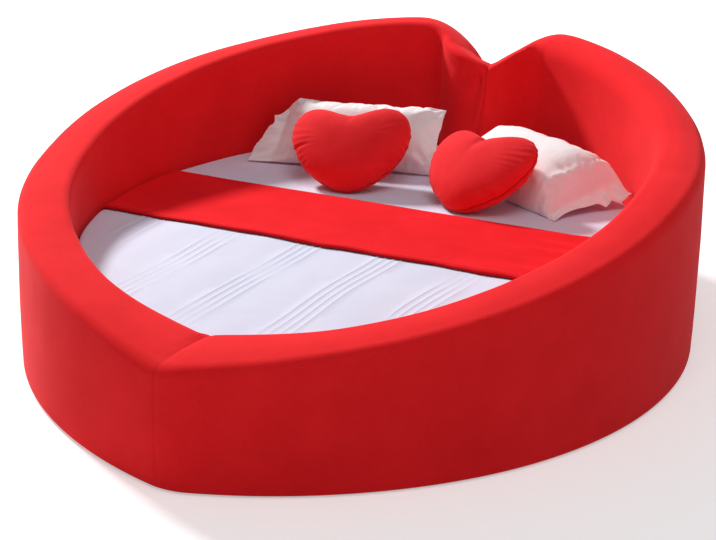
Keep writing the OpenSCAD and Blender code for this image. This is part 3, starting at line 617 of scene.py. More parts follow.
# The padded wall
wall = {
    "footHeight": 0.371,
    "headHeight": 0.828,
    "risePower": 0.83,
    "dip": 0.103,  # how far the rim sinks to the notch
    "dipWidth": 0.150,
    "dipSharpness": 1.3,
    "nearFullness": {"left": 0.040, "right": 0.028},  # how far the padding of the front half stands up
    "nearReach": {"left": (-0.80, -0.15), "right": (-0.1, 0.6)},  # from where to where along Y it comes down
    "tipFullness": 0.014,
    "hemAt": (0.045, 0.028),  # the cover ends under the wall, this far in from its outline
    "hemRadius": 0.012,
    "fabric": 0.002,
    "steps": (12, 22, 16, 84, 60, 48, 12),
    # how far the outer edge of the rim lies below its inner edge, and how round both edges are
    "drop": {"all": 0.012, "head": 0.008, "tip": 0.026, "notch": 0.036, "left": -0.010},
    "leanDepth": 0.22,  # how far down the outer face that drop is felt
    "outerRound": {"all": 0.036, "head": 0.010, "left": -0.008},
    "innerRound": 0.035,
    "headRound": {"left": 0.004, "right": 0.050},
    "outerHollow": 0.003,
    "rimCrown": 0.004,
    "softness": 0.0022,  # unevenness of the foam under the cloth
    "gather": 0.0080,  # half the depth of the gathers beside the notch
    "gatherLines": 20,
    "gatherShare": {"left": 1.0, "right": 0.5},
    "notchLean": 0.050,  # how far the fold of the notch leans to the right at its top
    "notchReach": 0.13,  # how far to either side the cover leans with it
    "notchFull": 0.72,  # height where it has leant over fully
    "notchThrough": (0.15, 0.6),  # shares of the way in through the wall where the lean begins and is full
    "mitreFrom": -0.9,  # the cover leans with the foot point's crease below this place along Y
    "mitreReach": 0.15,
    "mitreLean": 0.038,  # how far that crease runs askew over the rim
}
wallFloor = coverLow.z
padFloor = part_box("inner_foam_right")[0].z


def notchDip(x):
    return wall["dip"] * np.exp(-(np.abs(x) / wall["dipWidth"]) ** wall["dipSharpness"])


def rimHeight(x, y, side):
    t = np.clip((y + bedLength / 2) / bedLength, 0, 1)
    atTip = (wall["nearFullness"]["left"] + wall["nearFullness"]["right"]) / 2
    full = atTip + (wall["nearFullness"][side] - atTip) * ramp(np.abs(x), 0.0, 0.4)
    near = full * (1 - ramp(y, *wall["nearReach"][side]))
    near += wall["tipFullness"] * bell(x, 0.35) * (y < widestY)
    rise = (wall["headHeight"] - wall["footHeight"]) * t ** wall["risePower"]
    return wall["footHeight"] + rise - notchDip(x) * (y > widestY) + near


def wallSection(height, along, side):
    # inset and height of the points across the wall; along runs from 0 at the notch to 1 at the foot point
    tip = float(ramp(along, 0.86, 1.0))
    head = float(ramp(along, 0.0, 0.06)) * (1 - float(ramp(along, 0.25, 0.5)))
    parts = {
        "all": 1.0, "head": head, "tip": tip, "notch": 1 - float(ramp(along, 0.02, 0.10)),
        "left": float(ramp(along, 0.72, 0.84)) * (1 - tip) if side == "left" else 0.0,
    }
    drop = sum(amount * parts[part] for part, amount in wall["drop"].items())
    outerR = sum(amount * parts[part] for part, amount in wall["outerRound"].items())
    innerR = wall["innerRound"] + wall["headRound"][side] * head
    hem, t = wall["hemRadius"], wallThickness
    rows = [(inset, wallFloor) for inset in wall["hemAt"]]
    rows += arcRows(hem, wallFloor + hem, hem, 270, 180, 5)
    low, high = wallFloor + hem, height - outerR
    for s in np.linspace(0, 1, 23)[1:-1]:
        rows.append((-wall["outerHollow"] * math.sin(math.pi * s), low + (high - low) * s))
    rows += arcRows(outerR, high, outerR, 180, 90, 9)
    for s in np.linspace(0, 1, 10)[1:-1]:
        rows.append((outerR + (t - innerR - outerR) * s, height + wall["rimCrown"] * math.sin(math.pi * s)))
    rows += arcRows(t - innerR, height - innerR, innerR, 90, 0, 9)
    for s in np.linspace(0, 1, 21)[1:]:
        rows.append((t, height - innerR + (padFloor - height + innerR) * s))
    rows = np.array(rows)
    # the whole rim leans down outwards
    upper = ramp(rows[:, 1], height - wall["leanDepth"], height - outerR)
    rows[:, 1] -= drop * (1 - np.clip(rows[:, 0] / t, 0, 1)) * upper
    return rows


def coverPoints(side):
    # the right half's grid of points, and for each its distance from the notch and the foot point along
    # the wall, its depth under the rim and its share of the way through the wall
    stations = stationList(wall["steps"])
    outline = np.array([heartPoint(s, 0.0) for s in stations])
    run = runLength(outline)
    innerRun = runLength([heartPoint(s, wallThickness) for s in stations])
    heights = rimHeight(outline[:, 0], outline[:, 1], side)
    points, marks = [], []
    for i, station in enumerate(stations):
        section = wallSection(float(heights[i]), run[i] / run[-1], side)
        points.append(np.column_stack([heartPoint(station, section[:, 0]), section[:, 1]]))
        even = np.ones(len(section))
        marks.append(np.column_stack([
            innerRun[i] * even, (run[-1] - run[i]) * even, heights[i] - section[:, 1],
            section[:, 0] / wallThickness,
        ]))
    faces = gridFaces(len(points), len(points[0]))
    dips = np.repeat(notchDip(outline[:, 0]), len(points[0]))
    points, marks = np.concatenate(points), np.concatenate(marks)
    points[:, 0] += coverLow.x
    # the dip at the notch follows each point's own place, so that it stays a plain V right through the wall
    rim = points[:, 2] + marks[:, 2]
    high = np.clip((points[:, 2] - padFloor) / (rim - padFloor), 0, 1)
    points[:, 2] += (dips - notchDip(points[:, 0])) * high * ramp(points[:, 1], 0.5, 0.9)
    return points, faces, marks.T


def leanMitre(points, share):
    # the crease at the foot point runs askew over the rim
    foot = np.nonzero(points[:, 1] < wall["mitreFrom"])[0]
    near = points[foot]
    slide = wall["mitreLean"] * (2 * np.clip(share[foot], 0, 1) - 1) * bell(near[:, 0], wall["mitreReach"])
    stations = [("foot", i / 60) for i in range(20, 61)] + [("tip", (i + 1) / 16) for i in range(16)]
    slideAlong(near, share[foot] * wallThickness, stations, slide)
    points[foot] = near


def leanNotch(points, share):
    # the fold of the notch leans over on the rim and the inner face, while the seam at the back stays upright
    first, full = wall["notchThrough"]
    head = np.nonzero((points[:, 1] > 0.5) & (np.abs(points[:, 0]) < 0.32) & (share > first))[0]
    near = points[head]
    slide = wall["notchLean"] * bell(near[:, 0], wall["notchReach"])
    slide *= ramp(near[:, 2], padFloor, wall["notchFull"])
    slide *= ramp(share[head], first, full)
    stations = [("notch", i / 12) for i in range(13)] + [("lobeBack", (i + 1) / 40) for i in range(40)]
    slideAlong(near, share[head] * wallThickness, stations, slide)
    points[head] = near


def makeWallCover(side):
    points, faces, (fromNotch, fromTip, depth, share) = coverPoints(side)
    way = 1
    if side == "left":
        way = -1
        points[:, 0] *= -1
        faces = [f[::-1] for f in faces]
    leanMitre(points, share)
    obj = meshObject("wall_cover_" + side, points, faces)
    normals = readNormals(obj.data)
    free = ramp(points[:, 2], wallFloor + 0.02, wallFloor + 0.08)
    free *= ramp(points[:, 2], padFloor, padFloor + 0.08) * (share > 0.5) + (share <= 0.5)
    move = wall["softness"] * cloud(points, 0.42, 1) + 0.5 * wall["softness"] * cloud(points, 0.15, 2)
    # gathers that fan out down the inner face from the notch
    onInside = ramp(share, 0.6, 0.98)
    fan = np.arctan2(fromNotch, np.maximum(depth, 0) + 0.03)
    away = np.hypot(fromNotch, depth)
    gather = np.sin(wall["gatherLines"] * fan + 1.2 * cloud(points, 0.16, 3)) - 1  # folds only sink in
    reach = ramp(fromNotch, 0.003, 0.02) * bell(fromNotch, 0.13) * ramp(depth, 0.004, 0.05)
    reach *= ramp(away, 0.02, 0.07) * (1 - ramp(away, 0.16, 0.40)) * (1 - ramp(fan, 0.9, 1.3))
    move += wall["gatherShare"][side] * wall["gather"] * gather * reach * onInside
    # pull of the seams at the notch and at the foot point
    move -= bell(fromNotch, 0.012) * (0.003 + 0.001 * onInside)
    move -= bell(fromTip, 0.014) * (0.0005 + 0.0011 * ramp(share, 0.1, 0.3))
    points = points + normals * (move * free)[:, None]
    # the two halves stay on their own sides of the seam at the notch
    atNotch = points[:, 1] > 0
    points[atNotch, 0] = way * np.maximum(way * points[atNotch, 0], coverLow.x)
    leanNotch(points, share)
    writePoints(obj.data, points)
    addAttribute(obj.data, "seam", 0.16 * np.maximum(bell(fromNotch, 0.004), bell(fromTip, 0.003)))
    thicken(obj, wall["fabric"])
    obj.data.materials.append(wallSuede)
    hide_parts("cover_" + side, "outer_foam_" + side, "inner_foam_" + side, "rim_foam_" + side)
    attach(obj, "bed_frame")


for bedSide in ("left", "right"):
    makeWallCover(bedSide)
print("wall covers made")


def depthInside(loop, points):
    # distance of each point from a closed loop, below zero outside it
    nearest = np.full(len(points), np.inf)
    crossings = np.zeros(len(points), int)
    for a, b in zip(loop, np.roll(loop, -1, axis=0)):
        # a ray to +X from a point inside crosses the loop an odd number of times
        spans = (a[1] > points[:, 1]) != (b[1] > points[:, 1])
        at = a[0] + (points[:, 1] - a[1]) * (b[0] - a[0]) / (b[1] - a[1] + 1e-12)
        crossings += spans & (at > points[:, 0])
        step = b - a
        t = np.clip(((points - a) @ step) / (step @ step + 1e-12), 0, 1)
        nearest = np.minimum(nearest, np.linalg.norm(points - a - t[:, None] * step, axis=1))
    return np.where(crossings % 2 == 1, nearest, -nearest)


def flatHeart(loop, columnsAt, rowStep):
    # a flat heart filled with triangles: the loop and whatever grid points lie inside it
    rows = np.arange(loop[:, 1].min() + rowStep / 2, loop[:, 1].max(), rowStep)
    inside = np.array([(x, y) for y in rows for x in columnsAt(y)])
    inside = inside[depthInside(loop, inside) > 0.004]
    everything = [Vector(p) for p in np.vstack([loop, inside])]
    edges = [(i, (i + 1) % len(loop)) for i in range(len(loop))]
    made = delaunay_2d_cdt(everything, edges, [], 1, 1e-7)
    return np.array([tuple(v) for v in made[0]]), [list(f) for f in made[2]]


def evenColumns(step):
    reach = np.arange(-halfWidth, halfWidth, step)
    return lambda y: reach


def heartShell(name, stations, rings, columnsAt, rowStep, underneath=False):
    # rings of (inset, height) from the top's inner border outwards and down, closed on top by a flat heart
    loops = [heartLoop(stations, ring[0]) for ring in rings]
    count = len(loops[0])
    points = np.vstack([np.column_stack([p, np.full(count, r[1])]) for p, r in zip(loops, rings)])
    faces = gridFaces(len(rings), count, closed=True)
    parts = [(loops[0], rings[0][1], True, columnsAt, rowStep)]
    if underneath:
        parts.append((loops[-1], rings[-1][1], False, evenColumns(0.08), 0.08))
    for loop, height, faceUp, columns, step in parts:
        flat, triangles = flatHeart(loop, columns, step)
        start = len(points)
        points = np.vstack([points, np.column_stack([flat, np.full(len(flat), height)])])
        for f in triangles:
            a, b, c = (flat[i] for i in f[:3])
            upward = (b[0] - a[0]) * (c[1] - a[1]) - (b[1] - a[1]) * (c[0] - a[0]) > 0
            faces.append([start + i for i in (f if upward == faceUp else f[::-1])])
    obj = meshObject(name, points, faces)
    joinDoubles(obj, 0.0002)
    return obj


def newTree(name, sizes, dressing):
    # a geometry tree with named sizes and one material as its inputs
    tree = bpy.data.node_groups.new(name, "GeometryNodeTree")
    inputs = [("Geometry", "Geometry")] + [(size, "Float") for size in sizes] + [(dressing, "Material")]
    for label, kind in inputs:
        tree.interface.new_socket(label, in_out="INPUT", socket_type="NodeSocket" + kind)
    tree.interface.new_socket("Geometry", in_out="OUTPUT", socket_type="NodeSocketGeometry")
    return tree, addNode(tree, "NodeGroupInput").outputs


def finishTree(tree, shape, material):
    # the shape leaves the tree as plain geometry in its material
    real = addNode(tree, "GeometryNodeRealizeInstances", links={0: shape})
    dressed = addNode(
        tree, "GeometryNodeSetMaterial", links={"Geometry": real.outputs[0], "Material": material},
    )
    addNode(tree, "NodeGroupOutput", links={0: dressed.outputs[0]})
    return tree


def runTree(obj, tree, values):
    # sets the named inputs of a geometry tree and turns its result into the object's mesh
    modifier = obj.modifiers.new(tree.name, "NODES")
    modifier.node_group = tree
    for item in tree.interface.items_tree:
        if item.in_out == "INPUT" and item.name in values:
            modifier[item.identifier] = values[item.name]
    return applyModifiers(obj)


# The bedspread with its groups of pin tucks
spread = {
    "fabric": 0.0025,
    "edgeRadius": 0.022,
    "tuckHeight": 0.0021,
    "tuckWidth": 0.011,
    "tuckSway": 0.020,
    "tuckPitch": 0.027,
    "groupPitch": 0.285,
    "groups": 6,
    "tucksInGroup": 4,
    "lean": 0.07,  # how far the tucks run to +X for each metre along Y
    "footGap": 0.030,  # the tucks end this far from the edge
    "puff": 0.0035,  # how far the cloth rises between the groups
    "waves": 0.0022,
    "frameTuck": 0.002,  # height of the tucks on the frame's own bedspread
}
spreadLow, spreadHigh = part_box("bedspread")
spreadTop = spreadHigh.z - spread["frameTuck"]
spreadInset = halfWidth - spreadHigh.x
runnerLow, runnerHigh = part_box("bed_runner")
leanFrom = -0.6  # where the leaning tucks cross their own upright places
tuckEnd = runnerLow.y + 0.06  # under the runner
clothGap = 0.0012  # room between two layers of cloth


def spreadLift(points):
    # soft unevenness of the made bed: fuller between the tucks at the foot, nearly flat under the pillows
    x, y = points[:, 0], points[:, 1]
    flat = np.column_stack([x, y, np.zeros(len(x))])
    foot = 1 - ramp(y, runnerLow.y - 0.02, runnerLow.y + 0.05)
    phase = ((x - spread["lean"] * (y - leanFrom)) / spread["groupPitch"] + spread["groups"] / 2) % 1.0 - 0.5
    puff = spread["puff"] * np.abs(2 * phase) ** 1.5 * foot
    waves = spread["waves"] * (0.25 + 0.75 * foot) * (0.5 + 0.5 * cloud(flat, 0.28, 4))
    waves += 0.4 * spread["waves"] * foot * (0.5 + 0.5 * cloud(flat * [1.0, 0.35, 1.0], 0.07, 5))
    return puff + waves


def tuckTree():
    # raises the sheet in a ridge along each pin tuck
    sizes = ("Group Pitch", "Tuck Pitch", "Tuck Width", "Tuck Height", "Head End", "Lean")
    tree, given = newTree("pin tucks", sizes, "Cloth")
    place = addNode(tree, "GeometryNodeInputPosition").outputs[0]
    split = addNode(tree, "ShaderNodeSeparateXYZ", links={0: place}).outputs
    tucked = addNode(tree, "GeometryNodeInputNamedAttribute", data_type="FLOAT", values={"Name": "tucked"})
    made = {size: given[size] for size in sizes}
    made.update({"x": split["X"], "y": split["Y"], "tucked": tucked.outputs[0]})
    steps = (
        ("fromTurn", "SUBTRACT", "y", leanFrom),
        ("leaning", "MULTIPLY", "Lean", "fromTurn"),
        ("across", "SUBTRACT", "x", "leaning"),
        ("groups", "DIVIDE", "across", "Group Pitch"),
        ("groupAt", "FRACT", "groups"),
        ("groupShare", "SUBTRACT", "groupAt", 0.5),
        ("fromGroup", "MULTIPLY", "groupShare", "Group Pitch"),
        ("tucks", "DIVIDE", "fromGroup", "Tuck Pitch"),
        ("tuckAt", "FRACT", "tucks"),
        ("tuckShare", "SUBTRACT", "tuckAt", 0.5),
        ("tuckAway", "ABSOLUTE", "tuckShare"),
        ("fromTuck", "MULTIPLY", "tuckAway", "Tuck Pitch"),
        ("halfTuck", "MULTIPLY", "Tuck Width", 0.5),
        ("slope", "DIVIDE", "fromTuck", "halfTuck"),
        ("upside", "SUBTRACT", 1.0, "slope"),
        ("ridge", "MAXIMUM", "upside", 0.0),
        ("groupAway", "ABSOLUTE", "fromGroup"),
        ("halfGroup", "MULTIPLY", "Tuck Pitch", spread["tucksInGroup"] / 2),
        ("inGroup", "LESS_THAN", "groupAway", "halfGroup"),
        ("atFoot", "LESS_THAN", "y", "Head End"),
        ("ridgeInGroup", "MULTIPLY", "ridge", "inGroup"),
        ("fullRise", "MULTIPLY", "atFoot", "Tuck Height"),
        ("rise", "MULTIPLY", "ridgeInGroup", "fullRise"),
        ("height", "MULTIPLY", "rise", "tucked"),
    )
    for result, operation, *terms in steps:
        made[result] = addNode(
            tree, "ShaderNodeMath", operation=operation,
            links={i: made[term] for i, term in enumerate(terms) if term in made},
            values={i: term for i, term in enumerate(terms) if term not in made},
        ).outputs[0]
    offset = addNode(tree, "ShaderNodeCombineXYZ", links={"Z": made["height"]}).outputs[0]
    moved = addNode(tree, "GeometryNodeSetPosition", links={"Geometry": given["Geometry"], "Offset": offset})
    return finishTree(tree, moved.outputs[0], given["Cloth"])


def spreadColumns(y):
    # close columns across each tuck at the foot, wide ones elsewhere
    wide = np.arange(-halfWidth, halfWidth, 0.03)
    if y > tuckEnd:
        return wide
    groups = (np.arange(spread["groups"]) - (spread["groups"] - 1) / 2) * spread["groupPitch"]
    tucks = (np.arange(spread["tucksInGroup"]) - (spread["tucksInGroup"] - 1) / 2) * spread["tuckPitch"]
    half = spread["tuckWidth"] / 2
    lean = spread["lean"] * (y - leanFrom)
    close = np.array([g + k + lean + d * half for g in groups for k in tucks for d in (-1, -0.5, 0, 0.5, 1)])
    wide = wide[[np.abs(close - x).min() > 0.009 for x in wide]]
    return np.concatenate([wide, close])


def makeBedspread():
    stations = stationList((4, 10, 8, 34, 26, 20, 4))
    r, hem = spread["edgeRadius"], spreadLow.z
    rings = [(spreadInset + r + 0.03, spreadTop), (spreadInset + r + 0.015, spreadTop)]
    rings += arcRows(spreadInset + r, spreadTop - r, r, 90, 180, 7)
    for share in np.linspace(0, 1, 9)[1:]:
        rings.append((spreadInset, spreadTop - r + (hem - spreadTop + r) * share))
    obj = heartShell("bedspread_cloth", stations, rings, spreadColumns, 0.024)
    points = readPoints(obj.data)
    top = points[:, 2] > spreadTop - 0.001
    edge = heartLoop(stations, spreadInset + spread["footGap"])
    tucked = np.zeros(len(points))
    tucked[top] = ramp(depthInside(edge, points[top, :2]), 0.0, 0.09)
    tucked *= 0.25 + 0.75 * ramp(cloud(points * [1, 1, 0], 0.24, 9), -0.35, 0.25)
    points[:, 2] += spreadLift(points) * ramp(points[:, 2], spreadTop - r, spreadTop)
    writePoints(obj.data, points)
    addAttribute(obj.data, "tucked", tucked)
    runTree(obj, tuckTree(), {
        "Group Pitch": spread["groupPitch"], "Tuck Pitch": spread["tuckPitch"],
        "Tuck Width": spread["tuckWidth"], "Tuck Height": spread["tuckHeight"],
        "Head End": tuckEnd, "Lean": spread["lean"], "Cloth": spreadPercale,
    })
    # the tucks run a little unsteadily
    points = readPoints(obj.data)
    onTop = ramp(points[:, 2], spreadTop - r, spreadTop) * (1 - ramp(np.abs(points[:, 0]), 0.75, 0.88))
    points[:, 0] += spread["tuckSway"] * cloud(points * [0.7, 1, 0], 0.42, 10) * onTop
    writePoints(obj.data, points)
    addAttribute(obj.data, "seam", 0.6 * bell(points[:, 2] - hem, 0.003) * (points[:, 2] < hem + 0.02))
    thicken(obj, spread["fabric"])
    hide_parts("bedspread")
    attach(obj, "mattress")
    obj.data.calc_loop_triangles()
    return obj


bedspread = makeBedspread()
print("bedspread made:", len(bedspread.data.polygons), "faces")


# The mattress under the bedspread: quilted border, taped lower edge
mattress = {
    "edgeRadius": 0.019,
    "quiltPitch": 0.11,
    "quiltDepth": 0.0022,
    "borderRadius": 1.05,  # turns an angle round the mattress into a length along its border
    "tapeRadius": 0.0028,
}


def pipingTree():
    # a round cord along a line
    tree, given = newTree("piping", ["Radius"], "Cloth")
    line = addNode(tree, "GeometryNodeMeshToCurve", links={"Mesh": given["Geometry"]})
    ring = addNode(
        tree, "GeometryNodeCurvePrimitiveCircle", values={"Resolution": 8}, links={"Radius": given["Radius"]},
    )
    tube = addNode(
        tree, "GeometryNodeCurveToMesh", links={"Curve": line.outputs[0], "Profile Curve": ring.outputs[0]},
    )
    return finishTree(tree, tube.outputs[0], given["Cloth"])


def lineObject(name, points, closed=True):
    mesh = bpy.data.meshes.new(name)
    count = len(points)
    edges = [(i, (i + 1) % count) for i in range(count if closed else count - 1)]
    mesh.from_pydata([tuple(map(float, p)) for p in points], edges, [])
    obj = bpy.data.objects.new(name, mesh)
    scene.collection.objects.link(obj)
    return obj


def makeMattress():
    low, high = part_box("mattress_cover")
    inset, r = halfWidth - high.x, mattress["edgeRadius"]
    stations = stationList((4, 10, 8, 40, 30, 24, 4))
    rings = [(inset + r + 0.03, high.z)] + arcRows(inset + r, high.z - r, r, 90, 180, 6)
    for share in np.linspace(0, 1, 17)[1:]:
        rings.append((inset, high.z - r + (low.z + 0.006 - high.z + r) * share))
    rings += [(inset + 0.004, low.z + 0.0005), (inset + 0.03, low.z)]
    obj = heartShell("mattress_pad", stations, rings, evenColumns(0.05), 0.05, underneath=True)
    points = readPoints(obj.data)
    normals = readNormals(obj.data)
    # quilting of the border: upright seams all round and one seam along the middle
    onSide = np.abs(normals[:, 2]) < 0.5
    run = np.arctan2(points[:, 1], points[:, 0]) * mattress["borderRadius"]
    upright = np.abs(np.sin(math.pi * run / mattress["quiltPitch"]))
    middle = np.abs(points[:, 2] - (low.z + high.z) / 2)
    depth = 1 - np.minimum(np.minimum(upright / 0.35, middle / 0.012), 1)
    points -= normals * (onSide * mattress["quiltDepth"] * (0.15 + 0.85 * depth))[:, None]
    writePoints(obj.data, points)
    # the ticking is darker in the sunken quilting grooves: the stitched seam line and, across the groove's
    # width, painted shade
    addAttribute(obj.data, "seam", 0.35 * onSide * depth)
    obj.data.materials.append(mattressTicking)
    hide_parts("mattress_cover", "mattress_core")
    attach(obj, "mattress")
    edge = heartLoop(stations, inset + 0.001)
    tape = lineObject("mattress_tape", np.column_stack([edge, np.full(len(edge), low.z + 0.0035)]))
    runTree(tape, pipingTree(), {"Radius": mattress["tapeRadius"], "Cloth": whiteThread})
    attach(tape, "mattress")


makeMattress()
print("mattress made")


# Rows of stitches along a line
def stitchTree():
    tree, given = newTree("stitch row", ["Pitch", "Stitch Length", "Thread Radius"], "Thread")
    line = addNode(tree, "GeometryNodeMeshToCurve", links={"Mesh": given["Geometry"]})
    spaced = addNode(
        tree, "GeometryNodeResampleCurve", mode="LENGTH",
        links={"Curve": line.outputs[0], "Length": given["Pitch"]},
    )
    stitch = addNode(tree, "GeometryNodeMeshIcoSphere", values={"Radius": 1.0, "Subdivisions": 1})
    half = addNode(
        tree, "ShaderNodeMath", operation="MULTIPLY", links={0: given["Stitch Length"]}, values={1: 0.5},
    )
    size = addNode(
        tree, "ShaderNodeCombineXYZ",
        links={"X": given["Thread Radius"], "Y": given["Thread Radius"], "Z": half.outputs[0]},
    )
    along = addNode(
        tree, "FunctionNodeAlignRotationToVector", axis="Z",
        links={"Vector": addNode(tree, "GeometryNodeInputTangent").outputs[0]},
    )
    row = addNode(
        tree, "GeometryNodeInstanceOnPoints",
        links={"Points": spaced.outputs[0], "Instance": stitch.outputs[0],
               "Rotation": along.outputs[0], "Scale": size.outputs[0]},
    )
    return finishTree(tree, row.outputs[0], given["Thread"])


stitchRow = stitchTree()


# The runner across the bed
runner = {
    "fabric": 0.0015,
    "lip": 0.010,  # how far its thick near edge stands up
    "lipWave": 0.006,
    "farLip": 0.0035,
    "streaks": 0.0050,  # long shallow creases along it
    "folds": 0.021,  # height of the folds at its right end
    "edgeWave": 0.009,
    "overTucks": 0.0024,  # how much higher it lies over the ends of the tucks
    "bend": 0.002,  # how much wider it turns down at its ends than the bedspread
    "columns": 170,
    "hemStitch": 0.012,
    "stitchPitch": 0.006,
    "stitchLength": 0.00372,
    "threadRadius": 0.0005,
}
runnerWidth = runnerHigh.y - runnerLow.y


def runnerRows():
    # distances from the near edge, close together in both hems
    near = [0, 0.0008, 0.002, 0.004, 0.007, 0.011, 0.016, 0.022, 0.030, 0.040]
    middle = list(np.arange(0.052, runnerWidth - 0.03, 0.0105))
    return near + middle + [runnerWidth - d for d in (0.022, 0.015, 0.009, 0.004, 0.0015, 0)]


def runnerSurface(s, d, x, y):
    # height over the bedspread: s runs from -1 to 1 along the runner, d is the distance from its near edge
    along, flat = np.zeros((2, len(x), 3))
    along[:, 0] = flat[:, 0] = x
    flat[:, 1] = y
    lip = (runner["lip"] + runner["lipWave"] * cloud(along, 0.16, 6)) * (1 - math.exp(-d / 0.0016))
    lip *= 0.25 + 0.75 * math.exp(-max(d - 0.012, 0) / 0.035)
    far = runnerWidth - d
    lip += runner["farLip"] * (1 - math.exp(-far / 0.002)) * math.exp(-max(far - 0.01, 0) / 0.02)
    v = d / runnerWidth
    ridges = np.abs(np.sin(math.pi * 2.6 * v + 1.3 * (1 - s))) ** 3 * 0.6
    ridges += np.abs(np.sin(math.pi * 5.3 * v + 2.3 * s)) ** 3 * 0.35
    folds = runner["folds"] * ramp(s, 0.35, 0.95) * ridges * ramp(v, 0.02, 0.12) * (1 - ramp(v, 0.9, 1.0))
    soft = runner["streaks"] * (0.5 + 0.5 * cloud(flat * [0.22, 1.0, 1.0], 0.075, 7))
    soft *= 0.45 + 0.55 * ramp(s, -0.2, 0.5)
    return lip + folds + soft * ramp(min(d, far), 0, 0.02)


def runnerRow(d):
    # one row of points from the hem at the left end to the one at the right end
    baseY = runnerLow.y + d
    half = sideX(baseY, halfWidth - runnerHigh.x)
    r = spread["edgeRadius"] + runner["bend"]
    s = np.linspace(-1, 1, runner["columns"])
    x = s * (half - r)
    along = np.zeros((len(x), 3))
    along[:, 0] = x
    wave = runner["edgeWave"] * (cloud(along, 0.21, 8) + 0.4 * cloud(along, 0.06, 18))
    y = baseY + wave * (1 - d / runnerWidth)
    base = spreadTop + clothGap + runner["fabric"] + spreadLift(np.column_stack([x, y]))
    base += runner["overTucks"] * (y < runnerLow.y + 0.075)
    row = np.column_stack([x, y, base + runnerSurface(s, d, x, y)])
    seat = spreadTop + 0.003
    over = arcRows(half - r, seat - r, r, 75, 0, 6)
    down = [(half, seat - r + (runnerLow.z - seat + r) * share) for share in np.linspace(0, 1, 7)[1:]]
    ends = []
    top = row[0]
    for way in (-1, 1):
        fall = np.append((top[2] - seat) * (1 - np.arange(1, 7) / 6) ** 2, np.zeros(len(down)))
        ends.append(np.array([(way * px, top[1], pz + more) for (px, pz), more in zip(over + down, fall)]))
        top = ends[0][0]  # the right end turns down from a lower height, so that its folds stop at the edge
    return np.vstack([ends[0][::-1], row, ends[1]])


def makeRunner():
    distances = runnerRows()
    grid = np.array([runnerRow(d) for d in distances])
    columns = grid.shape[1]
    obj = meshObject("bed_runner_cloth", grid.reshape(-1, 3), gridFaces(len(distances), columns))
    fromEdge = np.repeat(distances, columns)
    # darker along the hem's stitch line, and at the near edge itself: painted shade on the steep face of the
    # thick hem, which is turned away from the key lamp
    seam = 0.55 * np.maximum(bell(fromEdge - runner["hemStitch"], 0.0016), bell(fromEdge, 0.0018))
    addAttribute(obj.data, "seam", seam)
    thicken(obj, runner["fabric"])
    obj.data.materials.append(runnerSateen)
    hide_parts("bed_runner")
    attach(obj, "mattress")
    for name, fromHem in (("near", np.array(distances)), ("far", runnerWidth - np.array(distances))):
        index = np.abs(fromHem - runner["hemStitch"]).argmin()
        row = lineObject("runner_stitches_" + name, grid[index, 8:-8] + [0, 0, 0.0002], closed=False)
        runTree(row, stitchRow, {
            "Pitch": runner["stitchPitch"], "Stitch Length": runner["stitchLength"],
            "Thread Radius": runner["threadRadius"], "Thread": redThread,
        })
        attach(row, "mattress")
    return obj


bedRunner = makeRunner()
print("runner made:", len(bedRunner.data.polygons), "faces")


# Stuffed cloth
def stuff(obj, filling, pinned=()):
    # blows up a closed shell of slightly loose cloth and keeps every point near where it began
    start = readPoints(obj.data)
    cloth = obj.modifiers.new("stuffing", "CLOTH")
    settings = cloth.settings
    settings.quality = 6
    settings.mass = 0.25
    settings.air_damping = 2.0
    settings.tension_stiffness = 18
    settings.compression_stiffness = 18
    settings.shear_stiffness = 6
    settings.bending_stiffness = filling["bending"]
    settings.shrink_min = -filling["spareCloth"]
    settings.use_pressure = True
    settings.uniform_pressure_force = filling["pressure"]
    settings.effector_weights.gravity = 0
    if len(pinned):
        group = obj.vertex_groups.new(name="held")
        group.add([int(i) for i in pinned], 1.0, "REPLACE")
        settings.vertex_group_mass = "held"
    cloth.point_cache.frame_start = 1
    cloth.point_cache.frame_end = filling["frames"]
    for number in range(1, filling["frames"] + 1):
        scene.frame_set(number)
    deps = bpy.context.evaluated_depsgraph_get()
    swollen = readPoints(obj.evaluated_get(deps).data)
    obj.modifiers.clear()
    obj.vertex_groups.clear()
    scene.frame_set(1)
    move = swollen - start
    length = np.linalg.norm(move, axis=1, keepdims=True)
    move *= np.tanh(length / filling["cap"]) * filling["cap"] / np.maximum(length, 1e-9)
    writePoints(obj.data, start + move)
    print("  stuffed", obj.name, "mean move", round(float(length.mean()) * 1000, 1), "mm")


def turnedBy(points, pose):
    # pose is a turn in the cushion's own plane, a tilt up from the bed, and a turn about Z, in degrees
    turn, tilt, yaw = (math.radians(a) for a in pose)
    matrix = Matrix.Rotation(yaw, 3, "Z") @ Matrix.Rotation(tilt, 3, "X") @ Matrix.Rotation(turn, 3, "Z")
    return points @ np.array(matrix).T


def seatOn(node, shape, pose):
    # the two moves that bring the low and the high corner of the turned shape's box to those of its node's
    turned = turnedBy(shape, pose)
    low, high = (np.array(corner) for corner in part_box(node))
    return low - turned.min(0), high - turned.max(0)


def keepAbove(points):
    # nothing sinks into the bedspread
    lifted = points.copy()
    lifted[:, 2] = np.maximum(points[:, 2], spreadTop + spreadLift(points) + clothGap)
    return lifted


def keepInsideWall(points):
    # nothing pokes into the wall
    loop = heartLoop(stationList((6, 12, 10, 60, 40, 30, 6)), wallThickness + 0.004)
    steps = np.roll(loop, -1, axis=0) - loop
    moved = points.copy()
    for i in np.nonzero(depthInside(loop, points[:, :2]) < 0)[0]:
        away = points[i, :2] - loop
        t = np.clip((away * steps).sum(1) / (steps ** 2).sum(1), 0, 1)
        nearest = loop + t[:, None] * steps
        moved[i, :2] = nearest[np.linalg.norm(points[i, :2] - nearest, axis=1).argmin()]
    return moved


